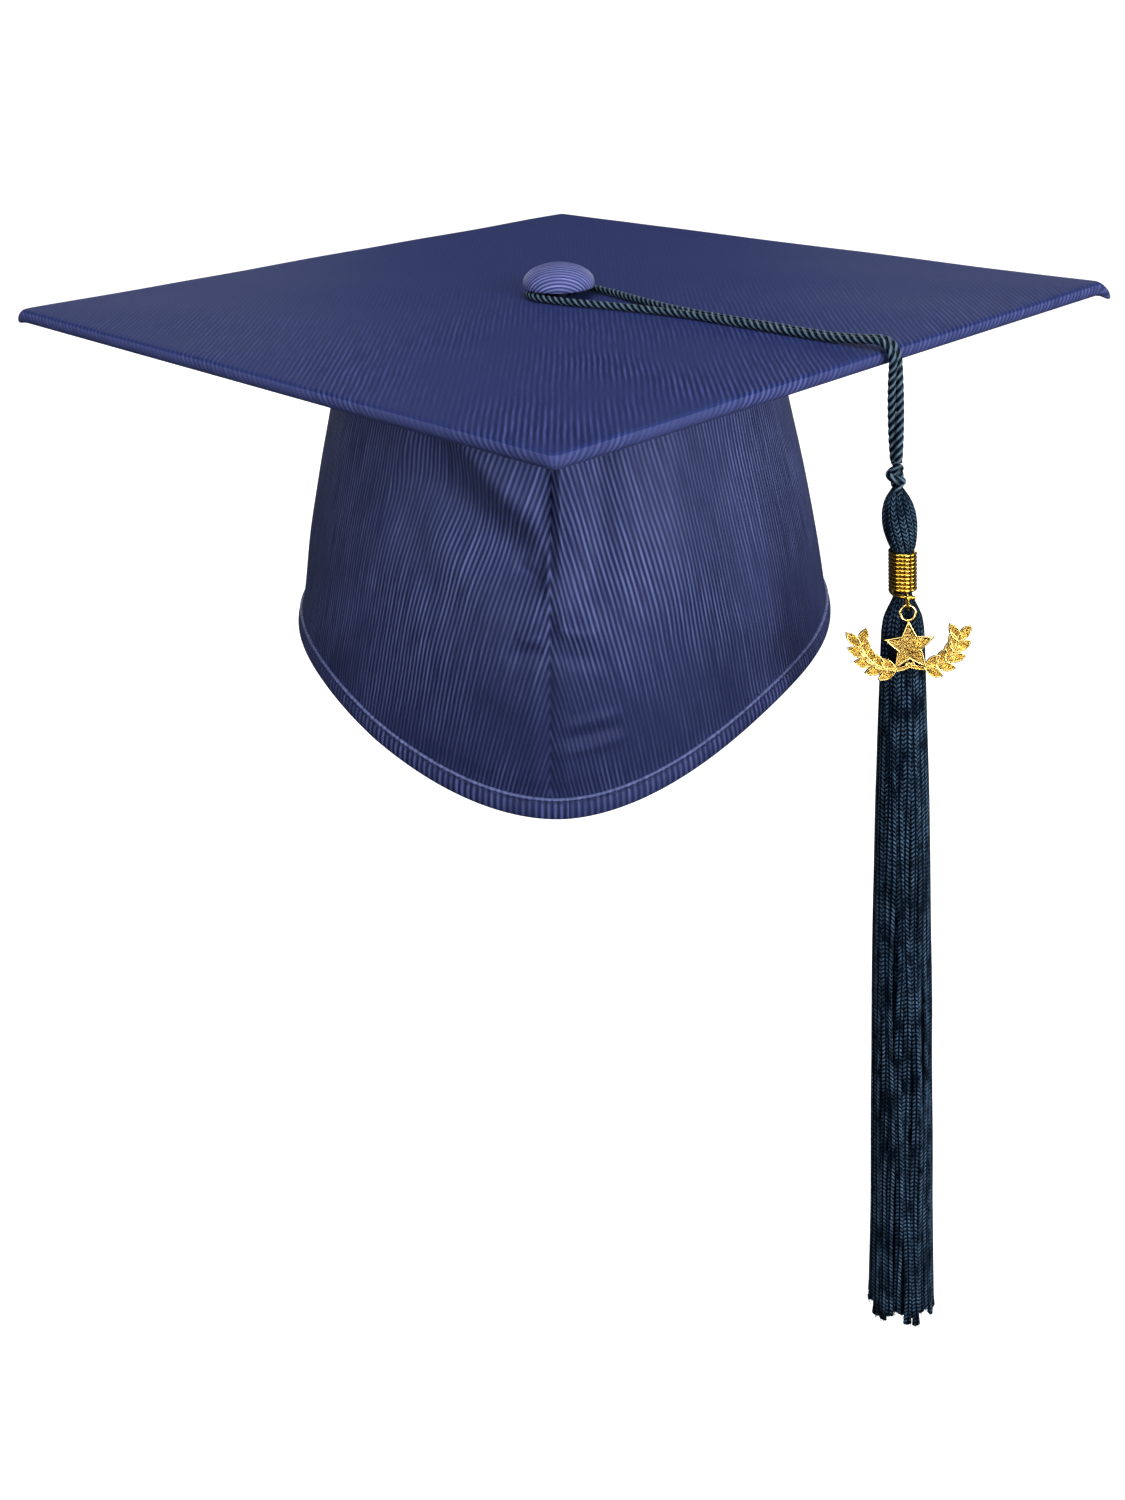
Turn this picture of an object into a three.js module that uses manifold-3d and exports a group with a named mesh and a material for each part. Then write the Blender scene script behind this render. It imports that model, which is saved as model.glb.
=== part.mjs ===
// Graduation cap: a cloth-covered square board on a fitted skull crown, with a covered button in the
// middle of the board and a tassel whose cord loops round the button and hangs over one edge.
// Millimetres, +Z up. The origin is the middle of the head opening; the rim stands a little above it at
// the sides and comes down below it on the forehead.
// The front corner of the board and the front seam of the crown point along -Y.
import * as THREE from 'three';
import { mergeVertices } from 'three/addons/utils/BufferGeometryUtils.js';
import Module from 'manifold-3d';

const wasm = await Module();
wasm.setup();

const { PI } = Math;
const GAP = 0.3; // air between touching pieces
const CLOTH = 0.4; // one layer of satin on the board
const WALL = 0.6; // one layer of the crown wall

// Board
const BOARD_SIDE = 241.3; // the common 9.5 inch board
const BOARD_TOP = 108;
const BOARD_CORNER = 3;
const CORE_THICK = 2.6;
const HEM = 14; // cloth turned under the board
const UNDER_INSET = 3;
const CORE_TOP = BOARD_TOP - CLOTH - GAP;
const HEM_TOP = CORE_TOP - CORE_THICK - GAP;
const UNDER_TOP = HEM_TOP - CLOTH - GAP;
const CROWN_TOP = UNDER_TOP - CLOTH - GAP;

// Crown
const RIM_HALF_WIDTH = 85.1;
const RIM_HALF_DEPTH = 96.7;
const TOP_HALF_WIDTH = 66.2;
const TOP_HALF_DEPTH = 80;
const RIM_SIDE = 5.4; // height of the rim at the sides and back
const FRONT_DIP = 21.5; // from there the rim comes down to a low point on the forehead
const DIP_POWER = 3.5; // the higher, the narrower that point
const FRONT_POWER = 1.84; // plan outline: below 2 it comes to a soft point
const BACK_POWER = 2;
const TIP_THICK = 1.2;
const TIP_HOLE = 6.5;
const TIP_SEAM = 2.8; // the linings stop this far under the tip, clear of the seam round it
const STIFFENER_BACK = THREE.MathUtils.degToRad(115);
const SEAM_TAPE_HALF = THREE.MathUtils.degToRad(3.5);
const ELASTIC_HEIGHT = 12;
const SWEATBAND_HEIGHT = 32;
const BINDING_HEIGHT = 5;

// Button
const BUTTON_R = 11.2;
const BUTTON_HEIGHT = 10.2;
const RIVET_R = 1.2;
const RIVET_HOLE = 1.5;
const WASHER_R = 5;
const SHANK_R = 4;

// Tassel, measured down its own axis from the centre of the cord's bend over the board edge
const TASSEL_AZIMUTH = THREE.MathUtils.degToRad(-44); // over the middle of the front right edge
const LEAN = THREE.MathUtils.degToRad(2.5); // the edge holds the hanging cord a little outwards
const CORD_R = 1.1;
const CORD_SIDES = 8;
const STRAND_HALF_GAP = 1.22; // half the distance between the two runs of cord
const LOOP_R = 10.8; // cord round the foot of the button
const LOOP_OUT = 2.2; // the loop is pulled this far towards the edge
const BEND_R = 5;
const BEND_IN = 2.35; // bend centre inside the board edge
const BEND_DOWN = 2.3; // bend centre below the board top
const DROP_END = 27.6;
const KNOT_TOP = 27.9;
const HEAD_TOP = 35.3;
const HEAD_BOTTOM = 51.9;
const NECK_R = 2.05;
const NECK_BOTTOM = 65.2;
const WIRE_R = 0.5;
const COIL_R = 3.35;
const COIL_TOP = 52.7;
const COIL_PITCH = 1.11;
const COIL_TURNS = 10.4;
const EYE_R = 5.5; // where the coil's free end stands out to hold the charm link
const EYE_REACH = 2.93; // how far the free end stands out in all
const EYE_PAST = 0.35; // angle that it runs on past the link
const SKIRT_TOP = 65.5;
const SKIRT_BOTTOM = 299;

// Charm
const CHARM_AZIMUTH = -PI / 4; // the charm faces the front corner
const CHARM_TILT = THREE.MathUtils.degToRad(12);
const LINK_HALF = 1.2;
const LINK_LENGTH = 2.1;
const LINK_WIRE_R = 0.375;
const LOOP_RING_R = 2.05;
const LOOP_WIRE_R = 0.42;
const STAR_THICK = 1.5;
const LEAF_THICK = 1.2;
const STEM_THICK = 0.9;
const STAR_OUTER = 7.2;
const STAR_INNER = 3.5;
const STEM_R = 9.5;
const STEM_HALF_WIDTH = 0.6;
const STEM_OUT = 4.2; // centre of the stem's arc, sideways from the star's centre
const STEM_UP = 3.4; // and above it
const STEM_START = 0.69; // the two stems cross under the star
const STEM_SWEEP = 0.42; // share of a half turn from the lowest leaf to the highest
const LEAF_LENGTH = 5.2;
const LEAF_WIDTH = 2.7;
const LEAF_ROOT = 0.8; // how far a leaf runs back past the middle of the stem
const LEAVES = 5;

const cap = new THREE.Group();

function finish(colour, roughness, metalness = 0) {
  return new THREE.MeshStandardMaterial({ color: colour, roughness, metalness });
}

function add(parent, name, geometry, material) {
  const mesh = new THREE.Mesh(geometry, material);
  mesh.name = name;
  parent.add(mesh);
  return mesh;
}

// Moves every point of a shape, such as a box bent into a wall.
function warp(geometry, place) {
  const points = geometry.getAttribute('position');
  const p = new THREE.Vector3();
  for (let i = 0; i < points.count; i += 1) {
    p.fromBufferAttribute(points, i);
    points.setXYZ(i, ...place(p));
  }
  return geometry;
}

function solidOf(geometry) {
  geometry.deleteAttribute('normal');
  geometry.deleteAttribute('uv');
  const merged = mergeVertices(geometry, 1e-4);
  const vertProperties = Float32Array.from(merged.getAttribute('position').array);
  const triVerts = Uint32Array.from(merged.index.array);
  return new wasm.Manifold(new wasm.Mesh({ numProp: 3, vertProperties, triVerts }));
}

function geometryOf(solid) {
  const mesh = solid.getMesh();
  const geometry = new THREE.BufferGeometry();
  geometry.setAttribute('position', new THREE.BufferAttribute(mesh.vertProperties, 3));
  geometry.setIndex(new THREE.BufferAttribute(mesh.triVerts, 1));
  return geometry;
}

// A solid of revolution from [radius, height] points. A profile that starts and ends on the axis is
// listed from the bottom up.
function lathe(profile, segments) {
  const points = profile.map(([radius, height]) => new THREE.Vector2(radius, height));
  const geometry = new THREE.LatheGeometry(points, segments);
  return geometry.rotateX(PI / 2);
}

function tube(points, radius, sides, steps) {
  const section = new THREE.Shape();
  section.absarc(0, 0, radius, 0, 2 * PI);
  const curve = new THREE.CatmullRomCurve3(points, false, 'centripetal');
  curve.arcLengthDivisions = 1200;
  return new THREE.ExtrudeGeometry(section, {
    extrudePath: curve, steps, curveSegments: sides / 2,
  });
}

// Board -------------------------------------------------------------------------------------------

function squareShape(side, corner) {
  const h = side / 2;
  const shape = new THREE.Shape();
  shape.moveTo(h, corner - h);
  shape.absarc(h - corner, h - corner, corner, 0, PI / 2);
  shape.absarc(corner - h, h - corner, corner, PI / 2, PI);
  shape.absarc(corner - h, corner - h, corner, PI, 1.5 * PI);
  shape.absarc(h - corner, corner - h, corner, 1.5 * PI, 2 * PI);
  return shape;
}

function boardPlate(side, corner, bottom, top, hole) {
  const shape = squareShape(side, corner);
  if (hole) {
    const cut = new THREE.Path();
    cut.absarc(0, 0, hole, 0, 2 * PI, true);
    shape.holes.push(cut);
  }
  const plate = new THREE.ExtrudeGeometry(shape, {
    depth: top - bottom, bevelEnabled: false, curveSegments: 3,
  });
  return plate.translate(0, 0, bottom).rotateZ(PI / 4);
}

// The top cloth wraps the edges and turns under as a hem.
function topCover() {
  const wrapped = solidOf(boardPlate(BOARD_SIDE, BOARD_CORNER, HEM_TOP - CLOTH, BOARD_TOP, RIVET_HOLE));
  const inside = BOARD_SIDE - 2 * CLOTH;
  const hollow = solidOf(boardPlate(inside, BOARD_CORNER - CLOTH, HEM_TOP, BOARD_TOP - CLOTH));
  const window = solidOf(boardPlate(BOARD_SIDE - 2 * HEM, BOARD_CORNER, HEM_TOP - 2, HEM_TOP + 1));
  return geometryOf(wrapped.subtract(hollow).subtract(window));
}

function addBoard(satin) {
  const coreSide = BOARD_SIDE - 2 * (CLOTH + GAP);
  const core = boardPlate(coreSide, BOARD_CORNER - CLOTH - GAP, CORE_TOP - CORE_THICK, CORE_TOP, RIVET_HOLE);
  add(cap, 'board_core', core, finish(0xb9a27c, 0.9));
  add(cap, 'board_top_cover', topCover(), satin);
  const underSide = BOARD_SIDE - 2 * UNDER_INSET;
  const under = boardPlate(underSide, BOARD_CORNER, UNDER_TOP - CLOTH, UNDER_TOP, RIVET_HOLE);
  add(cap, 'board_under_cover', under, satin);
}

// Button ------------------------------------------------------------------------------------------

function addButton(satin) {
  const steel = finish(0xb8bbc0, 0.4, 0.9);
  const top = BUTTON_HEIGHT;
  const cover = lathe([
    [7.2, 2.8], [10.4, 2.8], [BUTTON_R, 3.5], [11, 4.9], [10.2, 6.6], [8.6, 8.1], [6.2, 9.3], [3.2, 10],
    [0, top], [0, top - WALL], [3.1, 9.4], [5.9, 8.75], [8.15, 7.65], [9.65, 6.3], [10.4, 4.8],
    [10.5, 3.7], [10.1, 3.4], [7.2, 3.4], [7.2, 2.8],
  ], 28);
  const shell = lathe([
    [9.5, 3.9], [10, 3.9], [9.9, 4.8], [9.2, 6.1], [7.8, 7.3], [5.6, 8.35], [2.9, 9], [0, 9.2],
    [0, 8.7], [2.7, 8.5], [5.3, 7.9], [7.4, 6.9], [8.7, 5.8], [9.4, 4.7], [9.5, 3.9],
  ], 24);
  // The back plate stands on a shank, and the loop of the cord lies round that.
  const backPlate = lathe([
    [RIVET_HOLE, GAP], [SHANK_R, GAP], [SHANK_R, 3.8], [8.2, 3.8], [8.2, 4.5], [RIVET_HOLE, 4.5],
    [RIVET_HOLE, GAP],
  ], 24);
  const washer = lathe([
    [RIVET_HOLE, -WALL], [WASHER_R, -WALL], [WASHER_R, 0], [RIVET_HOLE, 0], [RIVET_HOLE, -WALL],
  ], 20);
  const foot = CROWN_TOP - BOARD_TOP - WALL - GAP;
  const rivet = lathe([
    [0, foot - 0.5], [2.2, foot - 0.5], [2.2, foot], [RIVET_R, foot],
    [RIVET_R, 4.8], [2.5, 4.8], [2.5, 5.6], [0, 5.6],
  ], 16);
  add(cap, 'button_cover', cover, satin).position.z = BOARD_TOP;
  add(cap, 'button_shell', shell, steel).position.z = BOARD_TOP;
  add(cap, 'button_back_plate', backPlate, steel).position.z = BOARD_TOP;
  add(cap, 'button_rivet', rivet, steel).position.z = BOARD_TOP;
  add(cap, 'rivet_washer', washer, steel).position.z = CROWN_TOP;
}

// Crown -------------------------------------------------------------------------------------------

function power(value, exponent) {
  return Math.sign(value) * Math.abs(value) ** exponent;
}

// A point of the crown wall. The angle is 0 at the front seam, PI / 2 on the wearer's left (+X).
function crownPoint(angle, z, inset) {
  const down = (CROWN_TOP - z) / (CROWN_TOP - RIM_SIDE);
  const halfWidth = THREE.MathUtils.lerp(TOP_HALF_WIDTH, RIM_HALF_WIDTH, down) - inset;
  const halfDepth = THREE.MathUtils.lerp(TOP_HALF_DEPTH, RIM_HALF_DEPTH, down) - inset;
  const exponent = 2 / (Math.cos(angle) > 0 ? FRONT_POWER : BACK_POWER);
  return [halfWidth * power(Math.sin(angle), exponent), -halfDepth * power(Math.cos(angle), exponent), z];
}

function rimHeight(angle) {
  return RIM_SIDE - FRONT_DIP * Math.max(0, Math.cos(angle)) ** DIP_POWER;
}

// A wall from one angle to another. Its foot is lift above the rim, and its top is level at top,
// or band above its foot.
function wall({ from, to, inset, thick, lift = 0, top, band, across, up }) {
  const box = new THREE.BoxGeometry(1, 1, 1, across, up, 1);
  return warp(box, (p) => {
    const angle = THREE.MathUtils.lerp(from, to, p.x + 0.5);
    const foot = rimHeight(angle) + lift;
    const head = band ? foot + band : top;
    return crownPoint(angle, THREE.MathUtils.lerp(foot, head, p.y + 0.5), inset + (0.5 - p.z) * thick);
  });
}

// A band all round the rim, from a closed profile of [inset, height above the rim].
function ring(profile, segments) {
  const base = RIM_HALF_WIDTH;
  const band = lathe(profile.map(([inset, height]) => [base - inset, height]), segments);
  return warp(band, (p) => {
    const angle = Math.atan2(p.x, -p.y);
    return crownPoint(angle, rimHeight(angle) + p.z, base - Math.hypot(p.x, p.y));
  });
}

function crownTip() {
  const outline = new THREE.Shape();
  for (let i = 0; i < 48; i += 1) {
    const [x, y] = crownPoint((i * PI) / 24, CROWN_TOP, WALL + GAP);
    if (i === 0) outline.moveTo(x, y);
    else outline.lineTo(x, y);
  }
  const hole = new THREE.Path();
  hole.absarc(0, 0, TIP_HOLE, 0, 2 * PI, true);
  outline.holes.push(hole);
  const disc = new THREE.ExtrudeGeometry(outline, {
    depth: TIP_THICK, bevelEnabled: false, curveSegments: 8,
  });
  return disc.translate(0, 0, CROWN_TOP - TIP_THICK);
}

// Left and right are the wearer's.
function addCrown(satin) {
  const buckram = finish(0xd9d5c8, 0.95);
  const tape = finish(0x2e3658, 0.9);
  const second = WALL + GAP; // inset of the layer inside the satin
  const third = 2 * (WALL + GAP);
  const halfSeam = 0.0022; // keeps the two panels apart at the seams
  const innerTop = CROWN_TOP - TIP_THICK - TIP_SEAM;

  add(cap, 'crown_tip', crownTip(), buckram);
  for (const [side, sign] of [['left', 1], ['right', -1]]) {
    const ends = (front, back) => (sign > 0 ? { from: front, to: back } : { from: -back, to: -front });
    add(cap, `crown_panel_${side}`, wall({
      ...ends(halfSeam * 3, PI - halfSeam), inset: 0, thick: WALL, top: CROWN_TOP, across: 26, up: 4,
    }), satin);
    add(cap, `crown_stiffener_${side}`, wall({
      ...ends(SEAM_TAPE_HALF * 2, STIFFENER_BACK), inset: second, thick: WALL, lift: 1,
      top: innerTop, across: 16, up: 3,
    }), buckram);
  }
  add(cap, 'front_seam_tape', wall({
    from: -SEAM_TAPE_HALF, to: SEAM_TAPE_HALF, inset: second, thick: WALL, lift: 1,
    top: innerTop, across: 4, up: 2,
  }), tape);
  add(cap, 'back_seam_tape', wall({
    from: PI - SEAM_TAPE_HALF, to: PI + SEAM_TAPE_HALF, inset: second, thick: WALL,
    lift: ELASTIC_HEIGHT + 4, top: innerTop, across: 2, up: 2,
  }), tape);
  add(cap, 'back_elastic', wall({
    from: STIFFENER_BACK + 0.05, to: 2 * PI - STIFFENER_BACK - 0.05, inset: second, thick: WALL,
    lift: 2, band: ELASTIC_HEIGHT, across: 20, up: 1,
  }), finish(0xe8e8ea, 0.8));
  add(cap, 'sweatband', ring([
    [third, 1], [third, SWEATBAND_HEIGHT], [third + WALL, SWEATBAND_HEIGHT], [third + WALL, 1], [third, 1],
  ], 48), finish(0x39415f, 0.7));
  const inner = third + WALL + GAP;
  add(cap, 'rim_binding', ring([
    [-GAP, -GAP], [-GAP, BINDING_HEIGHT], [-second, BINDING_HEIGHT - 0.4], [-second, -WALL],
    [-GAP, -second - GAP], [inner, -second - GAP], [inner + WALL, -WALL],
    [inner + WALL, BINDING_HEIGHT - 0.4], [inner, BINDING_HEIGHT], [inner, -GAP], [-GAP, -GAP],
  ].reverse(), 48), satin);
}

// Tassel cord -------------------------------------------------------------------------------------

// One cord from the board edge, round the foot of the button and back to the edge. In this frame
// +X points to the board edge that the tassel hangs over.
function cordLoopRoute(bendX, bendZ) {
  const flat = BOARD_TOP + CORD_R + 0.15;
  const run = [
    [14, 9.2, flat], [26, 6.2, flat], [40, 3.2, flat], [54, 1.5, flat], [70, STRAND_HALF_GAP, flat],
    [88, STRAND_HALF_GAP, flat], [103, STRAND_HALF_GAP, flat + 0.1], [111, STRAND_HALF_GAP, flat + 0.7],
  ];
  const bend = [];
  for (let i = 0; i <= 4; i += 1) {
    const turn = (i / 4) * (PI / 2 - LEAN);
    bend.push([bendX + BEND_R * Math.sin(turn), STRAND_HALF_GAP, bendZ + BEND_R * Math.cos(turn)]);
  }
  const half = [...run, ...bend];
  const loop = [];
  for (let degrees = 80; degrees <= 280; degrees += 20) {
    const a = THREE.MathUtils.degToRad(degrees);
    loop.push([LOOP_OUT + LOOP_R * Math.cos(a), LOOP_R * Math.sin(a), flat]);
  }
  const back = half.map(([x, y, z]) => [x, -y, z]);
  return [...half.reverse(), ...loop, ...back].map((p) => new THREE.Vector3(...p));
}

// The two hanging strands turn round each other by a third of a turn on the way to the knot.
function cordDropRoute(side) {
  const points = [];
  for (let i = 0; i <= 8; i += 1) {
    const along = i / 8;
    const turn = along * ((2 * PI) / 3);
    const z = -THREE.MathUtils.lerp(GAP, DROP_END, along);
    points.push(new THREE.Vector3(
      side * STRAND_HALF_GAP * Math.sin(turn), side * STRAND_HALF_GAP * Math.cos(turn), z,
    ));
  }
  return points;
}

// Tassel ------------------------------------------------------------------------------------------

function coilRoute() {
  const perTurn = 10;
  const total = COIL_TURNS * perTurn;
  const points = [];
  for (let i = 0; i <= total; i += 1) {
    const left = (total - i) / perTurn; // turns still to go
    const flare = Math.max(0, 1 - left / 0.3) ** 1.5; // the free end stands out as an eye
    const radius = COIL_R + EYE_REACH * flare;
    const angle = CHARM_AZIMUTH + EYE_PAST - left * 2 * PI;
    const z = -(COIL_TOP + (COIL_TURNS - left) * COIL_PITCH);
    points.push(new THREE.Vector3(radius * Math.cos(angle), radius * Math.sin(angle), z));
  }
  return points;
}

// Radius of the whole skirt at a distance below the bend.
function skirtRadius(s) {
  const stations = [
    [SKIRT_TOP, 3], [67.1, 3.5], [69.1, 4.6], [71.6, 5.6], [75.6, 6.2], [90, 6.8], [125, 7.9],
    [190, 9.2], [258, 9.75], [SKIRT_BOTTOM, 10.6],
  ];
  const above = stations.findLastIndex(([at]) => at <= s);
  const [low, high] = [stations[above], stations[Math.min(above + 1, stations.length - 1)]];
  const share = high[0] > low[0] ? (s - low[0]) / (high[0] - low[0]) : 0;
  return THREE.MathUtils.lerp(low[1], high[1], share);
}

// A strand of the skirt in ring 0, 1 or 2 round the middle one.
function skirtStrand(ringIndex, angle, end) {
  const stations = [SKIRT_TOP, 67.1, 69.1, 71.6, 75.6, 90, 125, 190, 258, end];
  const spacing = (s) => (skirtRadius(s) + 0.15) / 2.5;
  const profile = stations.map((s) => [(spacing(s) - GAP) / 2, -s]).reverse();
  const strand = lathe([[0, -end], ...profile, [0, -SKIRT_TOP]], 6);
  return warp(strand, (p) => {
    const out = ringIndex * spacing(-p.z);
    return [p.x + out * Math.cos(angle), p.y + out * Math.sin(angle), p.z];
  });
}

function addSkirt(tassel, rayon) {
  let number = 1;
  for (const [ringIndex, count] of [[0, 1], [1, 6], [2, 12]]) {
    for (let i = 0; i < count; i += 1) {
      const angle = ((i + 0.5) / count) * 2 * PI;
      const end = SKIRT_BOTTOM - 2 * ((number * 7) % 4); // the cut ends are not quite level
      const name = `skirt_strand_${String(number).padStart(2, '0')}`;
      add(tassel, name, skirtStrand(ringIndex, angle, end), rayon);
      number += 1;
    }
  }
}

function addTasselHead(tassel, rayon, gold) {
  const head = lathe([
    [0, -NECK_BOTTOM], [NECK_R, -NECK_BOTTOM], [NECK_R, -HEAD_BOTTOM - 0.1], [3.4, -HEAD_BOTTOM],
    [3.8, -50.6], [4.4, -48.1], [4.75, -45.1], [4.6, -42.1], [3.8, -39.1], [2.7, -37], [1.7, -HEAD_TOP],
    [0, -HEAD_TOP],
  ], 16);
  const binding = lathe([
    [NECK_R + 0.15, -62.5], [2.6, -62.5], [2.6, -54], [NECK_R + 0.15, -54], [NECK_R + 0.15, -62.5],
  ], 16);
  add(tassel, 'tassel_head', head, rayon);
  add(tassel, 'neck_binding', binding, finish(0x1b2c40, 0.8));
  add(tassel, 'ferrule_coil', tube(coilRoute(), WIRE_R, 6, Math.round(COIL_TURNS * 10)), gold);
}

// Charm -------------------------------------------------------------------------------------------

// Turns a shape drawn upright and extruded towards the viewer so that it faces outwards (+X).
const FACE_OUT = new THREE.Matrix4().makeBasis(
  new THREE.Vector3(0, 1, 0), new THREE.Vector3(0, 0, 1), new THREE.Vector3(1, 0, 0),
);

function charmSolid(shape, thick, x, y, turn) {
  const solid = new THREE.ExtrudeGeometry(shape, {
    depth: thick, bevelEnabled: false, curveSegments: 4,
  });
  return solidOf(solid.translate(0, 0, -thick / 2).rotateZ(turn).translate(x, y, 0));
}

function starShape() {
  const shape = new THREE.Shape();
  for (let i = 0; i < 10; i += 1) {
    const radius = i % 2 ? STAR_INNER : STAR_OUTER;
    const a = PI / 2 + (i * PI) / 5;
    if (i === 0) shape.moveTo(radius * Math.cos(a), radius * Math.sin(a));
    else shape.lineTo(radius * Math.cos(a), radius * Math.sin(a));
  }
  return shape;
}

function leafShape() {
  const shape = new THREE.Shape();
  shape.moveTo(-LEAF_ROOT, 0);
  shape.quadraticCurveTo(LEAF_LENGTH * 0.5, LEAF_WIDTH, LEAF_LENGTH, 0);
  shape.quadraticCurveTo(LEAF_LENGTH * 0.5, -LEAF_WIDTH, -LEAF_ROOT, 0);
  return shape;
}

function stemShape() {
  const shape = new THREE.Shape();
  const [low, high] = [-PI * STEM_START, -PI * (0.5 - STEM_SWEEP)];
  shape.absarc(0, 0, STEM_R + STEM_HALF_WIDTH, low, high);
  shape.absarc(0, 0, STEM_R - STEM_HALF_WIDTH, high, low, true);
  return shape;
}

// Two laurel sprigs and a star, cast in one with the ring that the link holds.
function charmPlate() {
  const middle = -(2 * LOOP_RING_R + STAR_OUTER - 0.2);
  const ringWire = new THREE.TorusGeometry(LOOP_RING_R, LOOP_WIRE_R, 6, 20);
  let plate = solidOf(ringWire.translate(0, -LOOP_RING_R, 0));
  plate = plate.add(charmSolid(starShape(), STAR_THICK, 0, middle, 0));
  for (const side of [1, -1]) {
    const mirror = new THREE.Matrix4().makeScale(side, 1, 1);
    let sprig = charmSolid(stemShape(), STEM_THICK, STEM_OUT, middle + STEM_UP, 0);
    for (let i = 0; i < LEAVES; i += 1) {
      const a = -PI * (0.5 - STEM_SWEEP * (i / (LEAVES - 1)));
      const x = STEM_OUT + STEM_R * Math.cos(a);
      const y = middle + STEM_UP + STEM_R * Math.sin(a);
      sprig = sprig.add(charmSolid(leafShape(), LEAF_THICK, x, y, a + PI / 2 - 0.5));
      sprig = sprig.add(charmSolid(leafShape(), LEAF_THICK - 0.1, x, y, a + PI / 2 + 0.7));
    }
    plate = plate.add(sprig.transform(mirror.elements));
  }
  return geometryOf(plate).applyMatrix4(FACE_OUT);
}

function charmLink() {
  const link = new THREE.TorusGeometry(LINK_HALF, LINK_WIRE_R, 6, 24);
  warp(link, (p) => [p.x, p.y + (p.y < -1e-6 ? -LINK_LENGTH : 0), p.z]);
  return link.rotateX(PI / 2);
}

function addCharm(tassel, gold) {
  const facing = new THREE.Group();
  facing.rotation.z = CHARM_AZIMUTH;
  tassel.add(facing);
  const hanging = new THREE.Group();
  hanging.position.set(EYE_R, 0, -(COIL_TOP + COIL_TURNS * COIL_PITCH));
  hanging.rotation.y = -CHARM_TILT;
  facing.add(hanging);
  add(hanging, 'charm_link', charmLink(), gold);
  add(hanging, 'charm', charmPlate(), finish(0xe8c458, 0.35, 1)).position.z = -LINK_LENGTH;
}

function addTassel() {
  const rayon = finish(0x1d3044, 0.55);
  const gold = finish(0xe0a92c, 0.2, 1);
  const bendX = BOARD_SIDE / 2 - BEND_IN;
  const bendZ = BOARD_TOP - BEND_DOWN;

  const arm = new THREE.Group();
  arm.rotation.z = TASSEL_AZIMUTH;
  cap.add(arm);
  add(arm, 'cord_loop', tube(cordLoopRoute(bendX, bendZ), CORD_R, CORD_SIDES, 80), rayon);

  const bend = new THREE.Group();
  bend.position.set(bendX, 0, bendZ);
  bend.rotation.y = -LEAN;
  arm.add(bend);
  const tassel = new THREE.Group();
  tassel.position.x = BEND_R;
  bend.add(tassel);
  add(tassel, 'cord_drop_front', tube(cordDropRoute(-1), CORD_R, CORD_SIDES, 8), rayon);
  add(tassel, 'cord_drop_back', tube(cordDropRoute(1), CORD_R, CORD_SIDES, 8), rayon);
  add(tassel, 'cord_knot', lathe([
    [0, -35], [1.5, -35], [2, -33.5], [2.3, -31.5], [2.2, -29.4], [1.5, -KNOT_TOP], [0, -KNOT_TOP],
  ], 12), rayon);
  addTasselHead(tassel, rayon, gold);
  addSkirt(tassel, rayon);
  addCharm(tassel, gold);
}

const satin = finish(0x333b66, 0.45);
addBoard(satin);
addButton(satin);
addCrown(satin);
addTassel();

export default cap;
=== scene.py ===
"""Looks for the graduation cap: ribbed satin over the board, crown and button, a twisted rayon cord with a
knitted tassel, a gold wire ferrule and a gold charm. Lengths in the code are in millimetres, in the row frame
(+Z up, -Y towards the front corner), and become metres when a mesh is made."""

import math

import bmesh
import bpy
import numpy as np
from mathutils import Matrix, Vector


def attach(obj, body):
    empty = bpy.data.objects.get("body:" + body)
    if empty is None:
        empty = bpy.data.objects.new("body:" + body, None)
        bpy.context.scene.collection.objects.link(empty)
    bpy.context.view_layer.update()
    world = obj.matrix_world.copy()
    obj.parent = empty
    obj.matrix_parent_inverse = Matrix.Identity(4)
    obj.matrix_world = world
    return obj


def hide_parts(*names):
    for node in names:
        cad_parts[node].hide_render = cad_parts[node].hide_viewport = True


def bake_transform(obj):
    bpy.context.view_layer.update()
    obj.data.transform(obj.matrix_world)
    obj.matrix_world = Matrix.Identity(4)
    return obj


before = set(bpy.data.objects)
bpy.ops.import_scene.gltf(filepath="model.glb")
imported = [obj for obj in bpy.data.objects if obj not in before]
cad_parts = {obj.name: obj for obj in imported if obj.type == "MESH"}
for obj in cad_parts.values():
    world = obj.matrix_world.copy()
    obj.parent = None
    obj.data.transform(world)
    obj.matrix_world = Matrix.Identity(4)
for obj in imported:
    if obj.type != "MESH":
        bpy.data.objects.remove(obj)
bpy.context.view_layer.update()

MM = 0.001
PI = math.pi

# Sizes. Most repeat the CAD's driving sizes, because the pieces below follow the same surfaces.
BOARD_SIDE, BOARD_TOP, BOARD_CORNER, HEM = 241.3, 108.0, 3.0, 14.0
BOARD_FOOT, BOARD_EDGE_R, EDGE_ROWS = 104.0, 1.9, (45, 55)
UNDER_INSET, UNDER_LOW = 3.0, 103.3
CROWN_TOP, LINING_TOP = 103.0, 98.6
PLEAT = 6.2
RIM_HALF = np.array([85.1, 96.7])
TOP_HALF = np.array([66.2, 80.0])
RIM_SIDE, FRONT_DIP, DIP_POWER, FRONT_POWER = 5.4, 21.5, 3.5, 1.84
CORD_D, CORD_LIFT = 2.2, 0.15
STRAND_HALF_GAP, LOOP_R, LOOP_OUT, BEND_R = 1.22, 10.8, 2.2, 5.0
BEND = np.array([118.3, 0.0, 105.7])
LEAN = math.radians(2.5)
TASSEL_AZIMUTH = math.radians(-44)
DROP_END = 27.6
TASSEL_BOW, BOW_TOP, BOW_FOOT = 1.6, 30, 310
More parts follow.
